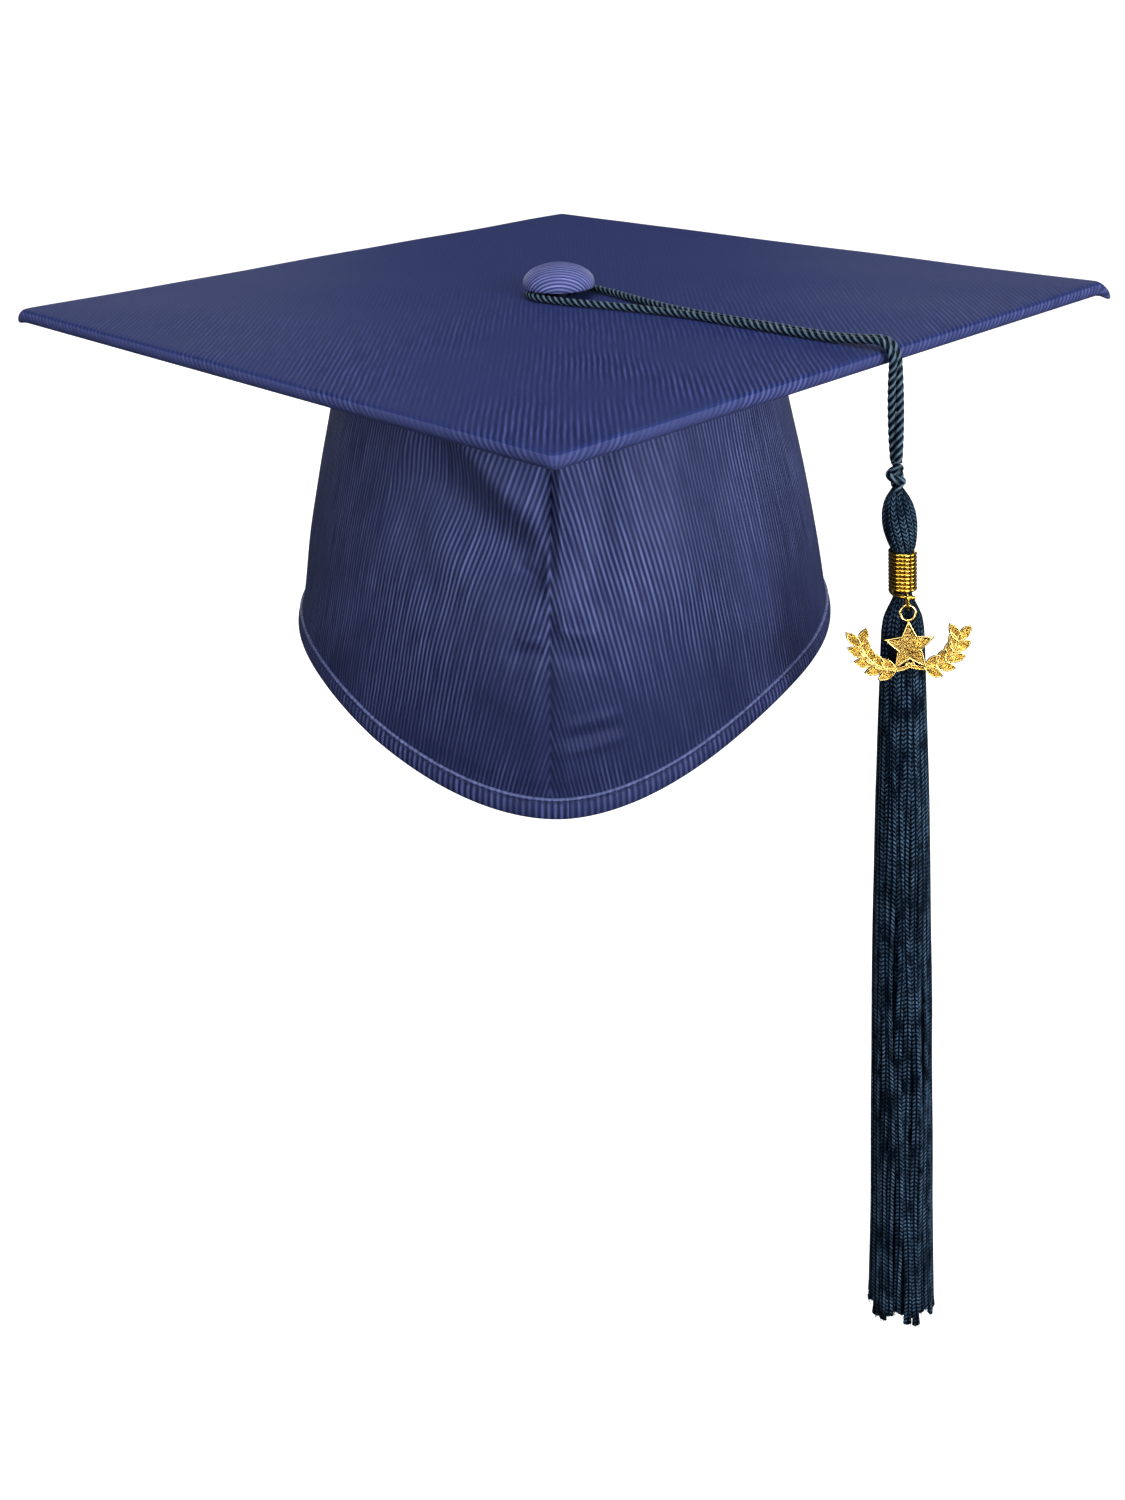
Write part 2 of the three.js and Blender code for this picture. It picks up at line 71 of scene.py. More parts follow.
CHARM_TILT = math.radians(12)
COIL_TOP, COIL_PITCH, COIL_TURNS, COIL_R, WIRE_R, WIRE_SWELL = 52.7, 1.11, 10.4, 3.35, 0.5, 1.04
EYE_R, EYE_REACH, EYE_PAST = 5.5, 2.93, 0.35
SKIRT_TOP, SKIRT_BOTTOM = 65.5, 299.0
LINK_HALF, LINK_LENGTH, LINK_WIRE_R = 1.2, 2.1, 0.375
LOOP_RING_R, LOOP_WIRE_R = 2.05, 0.42
STAR_OUTER, STAR_INNER = 7.2, 3.5
STEM_R, STEM_HALF, STEM_OUT, STEM_UP = 9.5, 0.6, 4.2, 3.4


def col(*values):
    return np.array(values, float)


def unit(x):
    return np.clip(x, 0, 1)


def bell(x, width):
    return np.exp(-((x / width) ** 2))


def unit_rows(v):
    return v / np.linalg.norm(v, axis=1)[:, None]


def circle(count):
    return np.linspace(0, 2 * PI, count, endpoint=False)


def spin(radius, angle, z):
    """Points round the Z axis."""
    x, y = radius * np.cos(angle), radius * np.sin(angle)
    return np.stack([x, y, np.broadcast_to(z, x.shape)], -1)


# ---- Places ----


def turn_z(angle):
    c, s = math.cos(angle), math.sin(angle)
    return np.array([[c, -s, 0], [s, c, 0], [0, 0, 1]])


TO_DIAGONAL = turn_z(PI / 4)[:2, :2].T  # the board's corners lie on X and Y


def turn_y(angle):
    c, s = math.cos(angle), math.sin(angle)
    return np.array([[c, 0, s], [0, 1, 0], [-s, 0, c]])


def in_arm(points):
    """The arm frame has +X towards the board edge that the tassel hangs over."""
    return np.asarray(points, float) @ turn_z(TASSEL_AZIMUTH).T


def in_tassel(points):
    """The tassel frame starts at the centre of the cord's bend: +X outwards, -Z down the tassel."""
    p = np.asarray(points, float)
    below = -p[..., 2:]
    push = TASSEL_BOW * unit((below - BOW_TOP) / 22) * unit((BOW_FOOT - below) / 240)
    q = (p + col(BEND_R, 0, 0) + push * col(0.72, 0.69, 0)) @ turn_y(-LEAN).T
    return in_arm(q + BEND)


def in_charm(points, drop=LINK_LENGTH):
    """The charm frame lies in the charm's face: x to the right, y up from the ring's top, z outwards."""
    p = np.asarray(points, float)
    q = np.stack([p[..., 2], p[..., 0], p[..., 1] - drop], -1) @ turn_y(-CHARM_TILT).T
    q = q + col(EYE_R, 0, -(COIL_TOP + COIL_TURNS * COIL_PITCH))
    return in_tassel(q @ turn_z(-PI / 4).T)


# ---- Meshes ----


def add_object(name, data):
    made = bpy.data.objects.new(name, data)
    bpy.context.scene.collection.objects.link(made)
    return made


class Build:
    """Collects grids of points into one mesh with a 'weave' UV map in millimetres."""

    def __init__(self):
        self.points, self.faces, self.uvs, self.mats, self.count = [], [], [], [], 0

    def grid(self, points, uv, closed=False, caps=False):
        rows, cols = points.shape[:2]
        base = self.count
        self.points.append(points.reshape(-1, 3))
        self.count += rows * cols
        i, j = np.meshgrid(np.arange(rows - 1), np.arange(cols if closed else cols - 1), indexing="ij")
        nxt = (j + 1) % cols
        quads = np.stack([i * cols + j, i * cols + nxt, (i + 1) * cols + nxt, (i + 1) * cols + j], -1)
        self.faces += (quads.reshape(-1, 4) + base).tolist()
        self.uvs.append(np.stack([uv[i, j], uv[i, j + 1], uv[i + 1, j + 1], uv[i + 1, j]], 2).reshape(-1, 2))
        self.mats += [0] * (len(quads) * quads.shape[1])
        if caps:
            self.cap(base + np.arange(cols)[::-1], uv[0, :cols][::-1])
            self.cap(base + (rows - 1) * cols + np.arange(cols), uv[-1, :cols])

    def cap(self, indices, uv):
        self.faces.append([int(k) for k in indices])
        self.uvs.append(np.asarray(uv, float).reshape(-1, 2))
        self.mats.append(0)

    def object(self, name, materials):
        mesh = bpy.data.meshes.new(name)
        mesh.from_pydata((np.concatenate(self.points) * MM).tolist(), [], self.faces)
        mesh.uv_layers.new(name="weave").data.foreach_set("uv", np.concatenate(self.uvs).ravel())
        mesh.polygons.foreach_set("material_index", np.array(self.mats, np.int32))
        mesh.polygons.foreach_set("use_smooth", np.ones(len(self.faces), bool))
        bm = bmesh.new()
        bm.from_mesh(mesh)
        bmesh.ops.recalc_face_normals(bm, faces=bm.faces)
        bm.to_mesh(mesh)
        bm.free()
        for m in materials:
            mesh.materials.append(m)
        mesh.update()
        return add_object(name, mesh)


def seat(obj, body, slot, *nodes):
    """The piece rides on a body and stands for CAD nodes, which it hides; slot is not used."""
    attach(obj, body)
    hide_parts(*nodes)
    return obj


def bend(obj, bodies, slot, start, end, *nodes):
    """Hides the CAD nodes that the piece stands for and bakes its place into the mesh; bodies, slot, start and
    end are not used.
    """
    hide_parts(*nodes)
    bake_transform(obj)


def smooth_curve(points, step):
    """A centripetal Catmull-Rom curve through the points, at even steps."""
    p = np.asarray(points, float)
    p = np.vstack([2 * p[0] - p[1], p, 2 * p[-1] - p[-2]])
    out = []
    for a, b, c, d in zip(p, p[1:], p[2:], p[3:]):
        t1 = np.linalg.norm(b - a) ** 0.5
        t2 = t1 + np.linalg.norm(c - b) ** 0.5
        t3 = t2 + np.linalg.norm(d - c) ** 0.5
        t = np.linspace(t1, t2, 24, endpoint=False)[:, None]
        ab, bc = a + (b - a) * t / t1, b + (c - b) * (t - t1) / (t2 - t1)
        cd = c + (d - c) * (t - t2) / (t3 - t2)
        abc = ab + (bc - ab) * t / t2
        bcd = bc + (cd - bc) * (t - t1) / (t3 - t1)
        out.append(abc + (bcd - abc) * (t - t1) / (t2 - t1))
    return even(np.vstack([*out, p[-2][None]]), step)


def distances(line):
    """The distance of each point of a line from its start."""
    return np.concatenate([[0], np.cumsum(np.linalg.norm(np.diff(line, axis=0), axis=1))])


def even(line, step):
    along = distances(line)
    at = np.linspace(0, along[-1], max(2, int(round(along[-1] / step)) + 1))
    return np.stack([np.interp(at, along, line[:, k]) for k in range(3)], 1)


def length_of(line):
    return float(np.linalg.norm(np.diff(line, axis=0), axis=1).sum())


def carried_frames(line):
    """Two directions square to the line, carried along it without twist."""
    tangent = unit_rows(np.gradient(line, axis=0))
    start = np.cross(tangent[0], [0, 0, 1.0])
    if np.linalg.norm(start) < 0.1:
        start = np.cross(tangent[0], [0, 1.0, 0])
    side = [start / np.linalg.norm(start)]
    for t in tangent[1:]:
        s = side[-1] - t * (side[-1] @ t)
        side.append(s / np.linalg.norm(s))
    side = np.array(side)
    return side, np.cross(tangent, side)


def swept(line, across, up, side=None, other=None):
    """A section swept along a line. across and up are its offsets, one row for each point of the line."""
    if side is None:
        side, other = carried_frames(line)
    return line[:, None] + across[..., None] * side[:, None] + up[..., None] * other[:, None]


def plain_uv(rows, cols, width, height):
    u, v = np.meshgrid(np.linspace(0, width, cols + 1), np.linspace(0, height, rows))
    return np.stack([u, v], -1)


def round_tube(build, line, radius, sides):
    theta = circle(sides)
    r = np.broadcast_to(np.asarray(radius, float), (len(line),))[:, None]
    points = swept(line, r * np.cos(theta), r * np.sin(theta))
    build.grid(points, plain_uv(len(line), sides, 2 * PI * float(np.mean(r)), length_of(line)),
               closed=True, caps=True)


def waves(x, y, size, seed, count=6):
    """Smooth unevenness between about -1 and 1, with features of the given size."""
    r = np.random.default_rng(seed)
    total = np.zeros(np.broadcast(x, y).shape)
    for _ in range(count):
        a, phase, k = r.uniform(0, 2 * PI), r.uniform(0, 2 * PI), 2 * PI / (size * r.uniform(0.7, 1.6))
        total += np.sin(k * (x * math.cos(a) + y * math.sin(a)) + phase)
    return total / count * 1.6


# ---- Materials ----


class Nodes:
    """Short ways to write a material's node tree."""

    def __init__(self, name, **inputs):
        self.material = bpy.data.materials.new(name)
        self.material.use_nodes = True
        self.tree = self.material.node_tree
        self.tree.nodes.clear()
        out = self.tree.nodes.new("ShaderNodeOutputMaterial")
        self.shader = self.tree.nodes.new("ShaderNodeBsdfPrincipled")
        self.tree.links.new(self.shader.outputs[0], out.inputs[0])
        self.set(**inputs)

    def node(self, kind, **settings):
        made = self.tree.nodes.new("ShaderNode" + kind)
        for key, value in settings.items():
            setattr(made, key, value)
        return made

    def put(self, socket, value):
        if isinstance(value, bpy.types.NodeSocket):
            self.tree.links.new(value, socket)
        else:
            socket.default_value = value

    def fill(self, node, **inputs):
        """Sets a node's inputs by name, with _ for a space."""
        for key, value in inputs.items():
            self.put(node.inputs[key.replace("_", " ")], value)
        return node

    def set(self, **inputs):
        self.fill(self.shader, **inputs)

    def math(self, operation, a, b=0.0, clamp=False):
        made = self.node("Math", operation=operation, use_clamp=clamp)
        self.put(made.inputs[0], a)
        self.put(made.inputs[1], b)
        return made.outputs[0]

    def add(self, a, b):
        return self.math("ADD", a, b)

    def sub(self, a, b):
        return self.math("SUBTRACT", a, b)

    def mul(self, a, b):
        return self.math("MULTIPLY", a, b)

    def wave(self, x, length):
        return self.math("SINE", self.mul(x, 2 * PI / length))

    def ridges(self, x):
        """Rounded ridges, one for each whole step of x, between 0 and 1."""
        return self.math("ABSOLUTE", self.math("SINE", self.mul(x, PI)))

    def weave(self):
        """(across, along) in millimetres, from the piece's own UV map."""
        return self.split(self.node("UVMap", uv_map="weave").outputs[0])[:2]

    def object_mm(self):
        """The point of the object in millimetres, for a piece without a UV map."""
        return [self.mul(part, 1000.0) for part in self.split(self.node("TexCoord").outputs["Object"])]

    def split(self, vector):
        return list(self.fill(self.node("SeparateXYZ"), Vector=vector).outputs)

    def join(self, x, y, z=0.0):
        return self.fill(self.node("CombineXYZ"), X=x, Y=y, Z=z).outputs[0]

    def noise(self, vector, scale=1.0, detail=2.0, rough=0.5):
        made = self.fill(self.node("TexNoise"), Vector=vector, Scale=scale, Detail=detail, Roughness=rough)
        return made.outputs["Fac"]

    def ramp(self, value, low, high, start=0.0, end=1.0):
        made = self.node("MapRange", clamp=True)
        return self.fill(made, Value=value, From_Min=low, From_Max=high, To_Min=start, To_Max=end).outputs[0]

    def mix(self, factor, a, b):
        made = self.node("Mix", data_type="RGBA")
        self.put(made.inputs[0], factor)
        for socket, value in ((made.inputs[6], a), (made.inputs[7], b)):
            self.put(socket, (*value, 1.0) if isinstance(value, tuple) else value)
        return made.outputs[2]

    def bump(self, height, distance_mm, strength=1.0):
        made = self.fill(self.node("Bump"), Strength=strength, Distance=distance_mm * MM, Height=height)
        self.set(Normal=made.outputs[0])


def satin(name, pitch=1.5, dark=(0.0085, 0.0120, 0.047), light=(0.100, 0.116, 0.275), gloss=0.42, wander=0.7,
          relief=0.2, plain=0.4, sharp=3.2, level=0.09, base=0.3, across=None, painted_shade_below=None, painted_highlight_band=None):
    """Ribbed satin: ridges in relief, their crests painted lighter than the darker ground as a painted sheen.
    They come and go over the cloth, and plain is the share of them left where it looks plain, with the colour at
    base between
    the two. Ranges of v: across, over which the ridges and their painted sheen fade; then one below which the
    sheen is dimmed, a painted shade on the foot; then one painted as a highlight along the turned edge."""
    n = Nodes(name, Specular_IOR_Level=level, Specular_Tint=(0.5, 0.54, 1.0, 1.0))
    x, y = n.weave()
    place = n.join(x, y)
    drift = n.mul(n.sub(n.noise(place, 0.03, 2), 0.5), wander * 2)
    rib_x = n.math("DIVIDE", n.add(x, drift), pitch)
    crest = n.ridges(rib_x)
    slub = n.noise(n.join(n.mul(rib_x, 0.9), n.mul(y, 0.06)), 1.0, 3, 0.6)
    fuzz = n.noise(place, 2.2, 2, 0.6)
    patch = n.noise(place, 0.022, 2)
    zone = n.ramp(patch, 0.36, 0.62, plain, 1.0)
    # The ridges' relief and painted sheen fade over a range of v, so the ribs show less towards one side.
    if across:
        shifted = n.add(y, n.mul(n.sub(patch, 0.5), 120.0))
        zone = n.math("MAXIMUM", n.mul(zone, n.ramp(shifted, *across, 0.75, 0.0)), plain)
    # Painted sheen: the ridge crests take the lighter colour.
    top = n.mul(n.math("POWER", crest, sharp), n.ramp(slub, 0.32, 0.66, 0.25, 1.0))
    shine = n.add(base, n.mul(n.sub(n.mul(top, 1.35), base), zone))
    # Painted shade: the sheen is dimmed below a wobbly height, so the foot of the crown is darker.
    if painted_shade_below:
        shifted = n.add(y, n.mul(n.sub(patch, 0.5), 60.0))
        shine = n.mul(shine, n.ramp(shifted, *painted_shade_below, 0.26, 1.0))
    colour = n.mix(shine, dark, light)
    # Painted highlight: a thin band of v along the binding's top edge is mixed towards a pale blue.
    if painted_highlight_band:
        edge = n.mul(n.ramp(y, painted_highlight_band[0], painted_highlight_band[0] + 0.2), n.ramp(y, painted_highlight_band[1], painted_highlight_band[1] - 0.3))
        colour = n.mix(n.mul(edge, n.ramp(slub, 0.3, 0.6, 0.25, 0.8)), colour, (0.15, 0.18, 0.38))
    n.set(Base_Color=colour, Roughness=n.ramp(fuzz, 0.3, 0.7, gloss - 0.05, gloss + 0.08))
    height = n.add(n.mul(crest, n.ramp(slub, 0.3, 0.7, 0.75, 1.0)), n.mul(n.wave(y, 0.55), 0.05))
    n.bump(n.mul(height, zone), relief)
    return n.material


def rayon(name, stitch, dark, light, gloss=0.4, relief=0.4):
    """Knitted chainette: two columns of slanted stitches that meet as a V. u is in strand widths and v in
    millimetres; stitch is the V's pitch."""
    n = Nodes(name, Specular_IOR_Level=0.08, Specular_Tint=(0.55, 0.85, 1.0, 1.0))
    u, v = n.weave()
    fold = n.mul(n.math("ABSOLUTE", n.sub(n.math("FRACT", u), 0.5)), 2.0)
    place = n.join(n.mul(u, 2.0), v)
    wobble = n.mul(n.noise(place, 0.9, 2), 0.5)
    phase = n.add(n.math("DIVIDE", v, stitch), n.add(n.mul(fold, 0.85), wobble))
    loop = n.ridges(phase)
    edge = n.ramp(fold, 0.75, 1.0, 1.0, 0.0)
    spine = n.ramp(fold, 0.0, 0.12, 0.55, 1.0)
    body = n.mul(n.mul(loop, edge), spine)
    uneven = n.noise(n.join(n.mul(u, 0.8), n.mul(v, 0.12)), 1.0, 3, 0.6)
    # Painted sheen and shade: the raised loops take the lighter colour, and the grooves between loops and at the
    # column edges take the darker one.
    shine = n.mul(n.ramp(body, 0.42, 0.90), n.ramp(uneven, 0.38, 0.60, 0.06, 1.0))
    n.set(Base_Color=n.mix(shine, dark, light), Roughness=gloss)
    n.bump(body, relief)
    return n.material


def twisted(name, dark, light, gloss=0.38):
    """Plied yarn: u counts the plies round the cord, v runs along it in millimetres."""
    n = Nodes(name, Specular_IOR_Level=0.1, Specular_Tint=(0.55, 0.8, 1.0, 1.0))
    u, v = n.weave()
    ply = n.ridges(u)
    fibre = n.noise(n.join(n.mul(u, 9.0), n.mul(v, 0.25)), 1.0, 3, 0.7)
    # Painted sheen: the crest of each ply takes the lighter colour.
    shine = n.mul(n.ramp(ply, 0.66, 0.97), n.ramp(fibre, 0.34, 0.62, 0.2, 1.0))
    n.set(Base_Color=n.mix(shine, dark, light), Roughness=gloss)
    n.bump(fibre, 0.12, 0.8)
    return n.material


def metal(name, colour, gloss=0.2, grain=0.0, size=1.0):
    """Plated metal. grain is the depth of a granular face in millimetres, size its grain."""
    n = Nodes(name, Metallic=1.0)
    place = n.join(*n.object_mm())
    worn = n.noise(place, 0.5, 3)
    deep = tuple(c * 0.72 for c in colour)
    n.set(Base_Color=n.mix(n.ramp(worn, 0.3, 0.7), deep, colour),
          Roughness=n.ramp(n.noise(place, 3.0, 2), 0.3, 0.7, gloss - 0.05, gloss + 0.05))
    if grain:
        cells = n.fill(n.node("TexVoronoi", feature="F1"), Vector=place, Scale=1 / size)
        fine = n.noise(place, 2.5 / size, 2)
        height = n.add(cells.outputs["Distance"], n.mul(fine, 0.6))
        n.bump(height, grain)
    else:
        n.bump(n.noise(place, 2.0, 2), 0.008)
    return n.material


def flat_weave(name, dark, light, thread=0.9, gloss=0.85, relief=0.15, coords=None):
    """Plain woven goods such as buckram, tape and banding."""
    n = Nodes(name, Specular_IOR_Level=0.2)
    x, y = coords(n) if coords else n.weave()
    over = n.mul(n.wave(x, thread), n.wave(y, thread))
    uneven = n.noise(n.join(x, y), 0.25, 4, 0.6)
    shade = n.math("ADD", n.mul(over, 0.3), n.ramp(uneven, 0.3, 0.7, 0.1, 0.9), clamp=True)
    n.set(Base_Color=n.mix(shade, dark, light), Roughness=gloss)
    n.bump(over, relief)
    return n.material


def card(name):
    n = Nodes(name, Specular_IOR_Level=0.2, Roughness=0.9)
    grain = n.noise(n.join(*n.object_mm()), 0.8, 5, 0.7)
    n.set(Base_Color=n.mix(n.ramp(grain, 0.3, 0.7), (0.30, 0.22, 0.13), (0.47, 0.37, 0.24)))
    n.bump(grain, 0.15)
    return n.material


SATIN = satin("satin_board", dark=(0.0050, 0.0102, 0.0530), light=(0.054, 0.073, 0.232), plain=0.06, relief=0.08,
              gloss=0.55, level=0.03, across=(-70, 35))
# A lighter copy of the board satin for the rounded edge band of the same cloth: painted light.
SATIN_EDGE_PAINTED_LIGHT = satin("satin_board_edge_painted_light", dark=(0.0175, 0.0235, 0.078), light=(0.078, 0.094, 0.262), plain=0.12,
                   relief=0.05, level=0.03, sharp=2.6, base=0.36, across=(150, 300))
SATIN_CROWN = satin("satin_crown", light=(0.098, 0.122, 0.292), base=0.22, gloss=0.48, level=0.14,
                    painted_shade_below=(-4, 50))
SATIN_BUTTON = satin("satin_button", pitch=1.2, dark=(0.026, 0.034, 0.115), light=(0.165, 0.182, 0.41),
                     wander=0.3, plain=0.85, sharp=3.0)
SATIN_BINDING = satin("satin_binding", pitch=1.7, wander=0.3, dark=(0.0085, 0.0120, 0.044),
                      light=(0.062, 0.075, 0.200), plain=0.6, relief=0.25, painted_highlight_band=(0.1, 1.2))
RAYON = rayon("rayon_chainette", 1.3, (0.0003, 0.0020, 0.0070), (0.064, 0.120, 0.200))
RAYON_HEAD = rayon("rayon_head", 1.3, (0.0003, 0.0020, 0.0070), (0.062, 0.118, 0.190))
CORD = twisted("rayon_cord", (0.0006, 0.0022, 0.0080), (0.120, 0.190, 0.250))
GOLD = metal("gold_wire", (0.70, 0.45, 0.058), 0.13)
GOLD_RIM = metal("gold_polished", (0.92, 0.66, 0.22), 0.15)
GOLD_FACE = metal("gold_granular", (0.82, 0.58, 0.19), 0.2, grain=0.8, size=0.48)
STEEL = metal("button_steel", (0.62, 0.63, 0.65), 0.35)
BUCKRAM_TONES = (0.50, 0.48, 0.42), (0.72, 0.70, 0.63)
BUCKRAM = flat_weave("buckram", *BUCKRAM_TONES, thread=1.3)
TAPE = flat_weave("seam_tape", (0.022, 0.028, 0.075), (0.04, 0.05, 0.11), thread=0.8)
ELASTIC = flat_weave("elastic", (0.62, 0.62, 0.63), (0.82, 0.82, 0.84), thread=1.6, relief=0.35)
BAND = flat_weave("sweatband", (0.028, 0.036, 0.085), (0.05, 0.06, 0.12), thread=0.7)
THREAD = flat_weave("sewing_thread", (0.02, 0.027, 0.085), (0.06, 0.07, 0.19), thread=0.5, gloss=0.5)


# ---- Camera ----


def add_camera():
    yaw, pitch, roll = (math.radians(a) for a in (-0.715, 16.849, -1.602))
    ahead = Vector((math.sin(yaw) * math.cos(pitch), math.cos(yaw) * math.cos(pitch), -math.sin(pitch)))
    right = Vector((math.cos(yaw), -math.sin(yaw), 0))
    up = right.cross(ahead)
    across = right * math.cos(roll) + up * math.sin(roll)
    upright = -right * math.sin(roll) + up * math.cos(roll)
    data = bpy.data.cameras.new("camera")
    data.sensor_width = 36
    data.lens = 39.377
    data.shift_y = -0.2
    data.clip_start, data.clip_end = 0.01, 50
    camera = add_object("camera", data)
    turn = Matrix((across, upright, -ahead)).transposed().to_4x4()
    camera.matrix_world = Matrix.Translation(Vector((6.02, -504.20, 210.35)) * MM) @ turn
    bpy.context.scene.camera = camera


# ---- Tassel cord ----


def cord_route():
    """Up one hanging strand, along the board, round the button and back the same way."""
    flat = BOARD_TOP + CORD_D / 2 + CORD_LIFT
    half = [(14, 9.2, flat), (26, 6.2, flat), (40, 3.2, flat), (54, 1.5, flat), (70, STRAND_HALF_GAP, flat),
            (88, STRAND_HALF_GAP, flat), (103, STRAND_HALF_GAP, flat + 0.1), (111, STRAND_HALF_GAP, flat + 0.7)]
    for i in range(5):
        t = i / 4 * (PI / 2 - LEAN)
        half.append((BEND[0] + BEND_R * math.sin(t), STRAND_HALF_GAP, BEND[2] + BEND_R * math.cos(t)))
    around = [math.radians(d) for d in range(80, 281, 20)]
    loop = [(LOOP_OUT + LOOP_R * math.cos(a), LOOP_R * math.sin(a), flat) for a in around]
    run = in_arm([*half[::-1], *loop, *((x, -y, z) for x, y, z in half)])
    drops = []
    for side in (1, -1):
        drop = []
        for i in range(1, 9):
            t = i / 8 * 2 * PI / 3
            gap = STRAND_HALF_GAP - 0.14 * math.sin(PI * i / 8)
            drop.append((side * gap * math.sin(t), side * gap * math.cos(t),
                         -(0.3 + (DROP_END - 0.3) * i / 8)))
        drops.append(in_tassel(drop))
    return np.vstack([drops[0][::-1], run, drops[1]])


def plied_cord(build, line, diameter, plies=3, lay=6.9, phase=0.0):
    """A cord whose plies show as round ridges that turn about it once in each lay."""
    per_ply, size = 8, diameter / 2
    sides = plies * per_ply
    along = np.linspace(0, length_of(line), len(line))
    theta = circle(sides)
    lobes = 0.80 + 0.24 * np.abs(np.sin(theta * plies / 2)) ** 0.7
    angle = theta[None] + 2 * PI * along[:, None] / lay + phase
    r = size * lobes[None]
    u = np.linspace(0, plies, sides + 1)
    uv = np.stack(np.meshgrid(u, along), -1)
    build.grid(swept(line, r * np.cos(angle), r * np.sin(angle)), uv, closed=True, caps=True)


def make_cord():
    line = smooth_curve(cord_route(), 0.3)
    build = Build()
    plied_cord(build, line, CORD_D)
    cord = build.object("tassel_cord", [CORD])
    over_edge = in_arm([BEND + col(0, 0, BEND_R), BEND + col(BEND_R, 0, -1.5)])
    bend(cord, ("cord_run", "cord_drop"), "rayon_cord", *over_edge, "cord_loop", "cord_drop_front",
         "cord_drop_back")


def make_knot():
    """The doubled cord wraps once round itself above the head."""
    build = Build()
    t = np.linspace(0, 1, 60)
    for k, start in enumerate((2 * PI / 3 + PI / 2, 2 * PI / 3 - PI / 2)):
        angle = start + t * 1.2 * PI
        r = 1.42 - 0.5 * np.sin(PI * t)
        core = np.stack([r * np.sin(angle + PI / 2), r * np.cos(angle + PI / 2), -(DROP_END + t * 8.4)], 1)
        plied_cord(build, in_tassel(even(core, 0.3)), 2.0, phase=k)
    t = np.linspace(0, 1, 90)
    angle = 0.4 + t * 2.5 * PI
    wrap_r = 1.75 - 0.9 * np.abs(2 * t - 1) ** 3
    wrap = np.stack([wrap_r * np.cos(angle), wrap_r * np.sin(angle) - 0.25, -(29.1 + 4.8 * t)], 1)
    plied_cord(build, in_tassel(even(wrap, 0.3)), 2.1)
    bend(build.object("cord_knot_wrap", [CORD]), ("cord_drop", "tassel"), "rayon_cord",
         *in_tassel([(0, 0, -29.5), (0, 0, -34.5)]), "cord_knot")


# ---- Tassel ----


def make_head():
    """The hank of strands folded over the knot: 13 strands side by side round a bulge."""
    stations = [(34.6, 1.3), (35.4, 1.9), (36.3, 2.5), (37.4, 3.2), (39.1, 3.95), (41.6, 4.55), (44.6, 4.75),
                (47.1, 4.55), (49.1, 4.15), (50.7, 3.75), (51.7, 3.4), (52.7, 2.9), (54, 2.5)]
    s = np.linspace(stations[0][0], stations[-1][0], 90)
    radius = np.interp(s, *zip(*stations))
    for _ in range(3):
        radius[1:-1] = (radius[:-2] + radius[1:-1] + radius[2:]) / 3
    strands, per = 13, 8
    theta = circle(strands * per)
    lean = 0.25 * (s - 44)[:, None] / 9
    lobe = np.abs(np.sin((theta * strands / 2)))[None] ** 0.6
    swell = 1 + 0.03 * waves(theta[None] * 2, s[:, None] / 6, 3.0, 3)
    r = radius[:, None] * swell * (0.90 + 0.10 * lobe)
    bulge = np.sin(PI * unit((s - 35) / 17))[:, None]
    angle = theta[None] + lean
    points = spin(r, angle, -s[:, None]) - bulge[..., None] * col(0.1, 0.35, 0)
    uv = plain_uv(len(s), len(theta), strands, length_of(np.stack([radius, s, s * 0], 1)))
    build = Build()
    build.grid(in_tassel(points), uv, closed=True, caps=True)
    seat(build.object("tassel_head_hank", [RAYON_HEAD]), "tassel", "rayon_skirt", "tassel_head",
         "neck_binding")


def skirt_radius(s):
    return np.interp(s, [SKIRT_TOP, 67.1, 69.1, 71.6, 75.6, 82, 90, 125, 190, 258, SKIRT_BOTTOM],
                     [3.0, 3.8, 4.8, 5.7, 6.3, 6.6, 6.9, 8.0, 9.3, 9.85, 10.7])


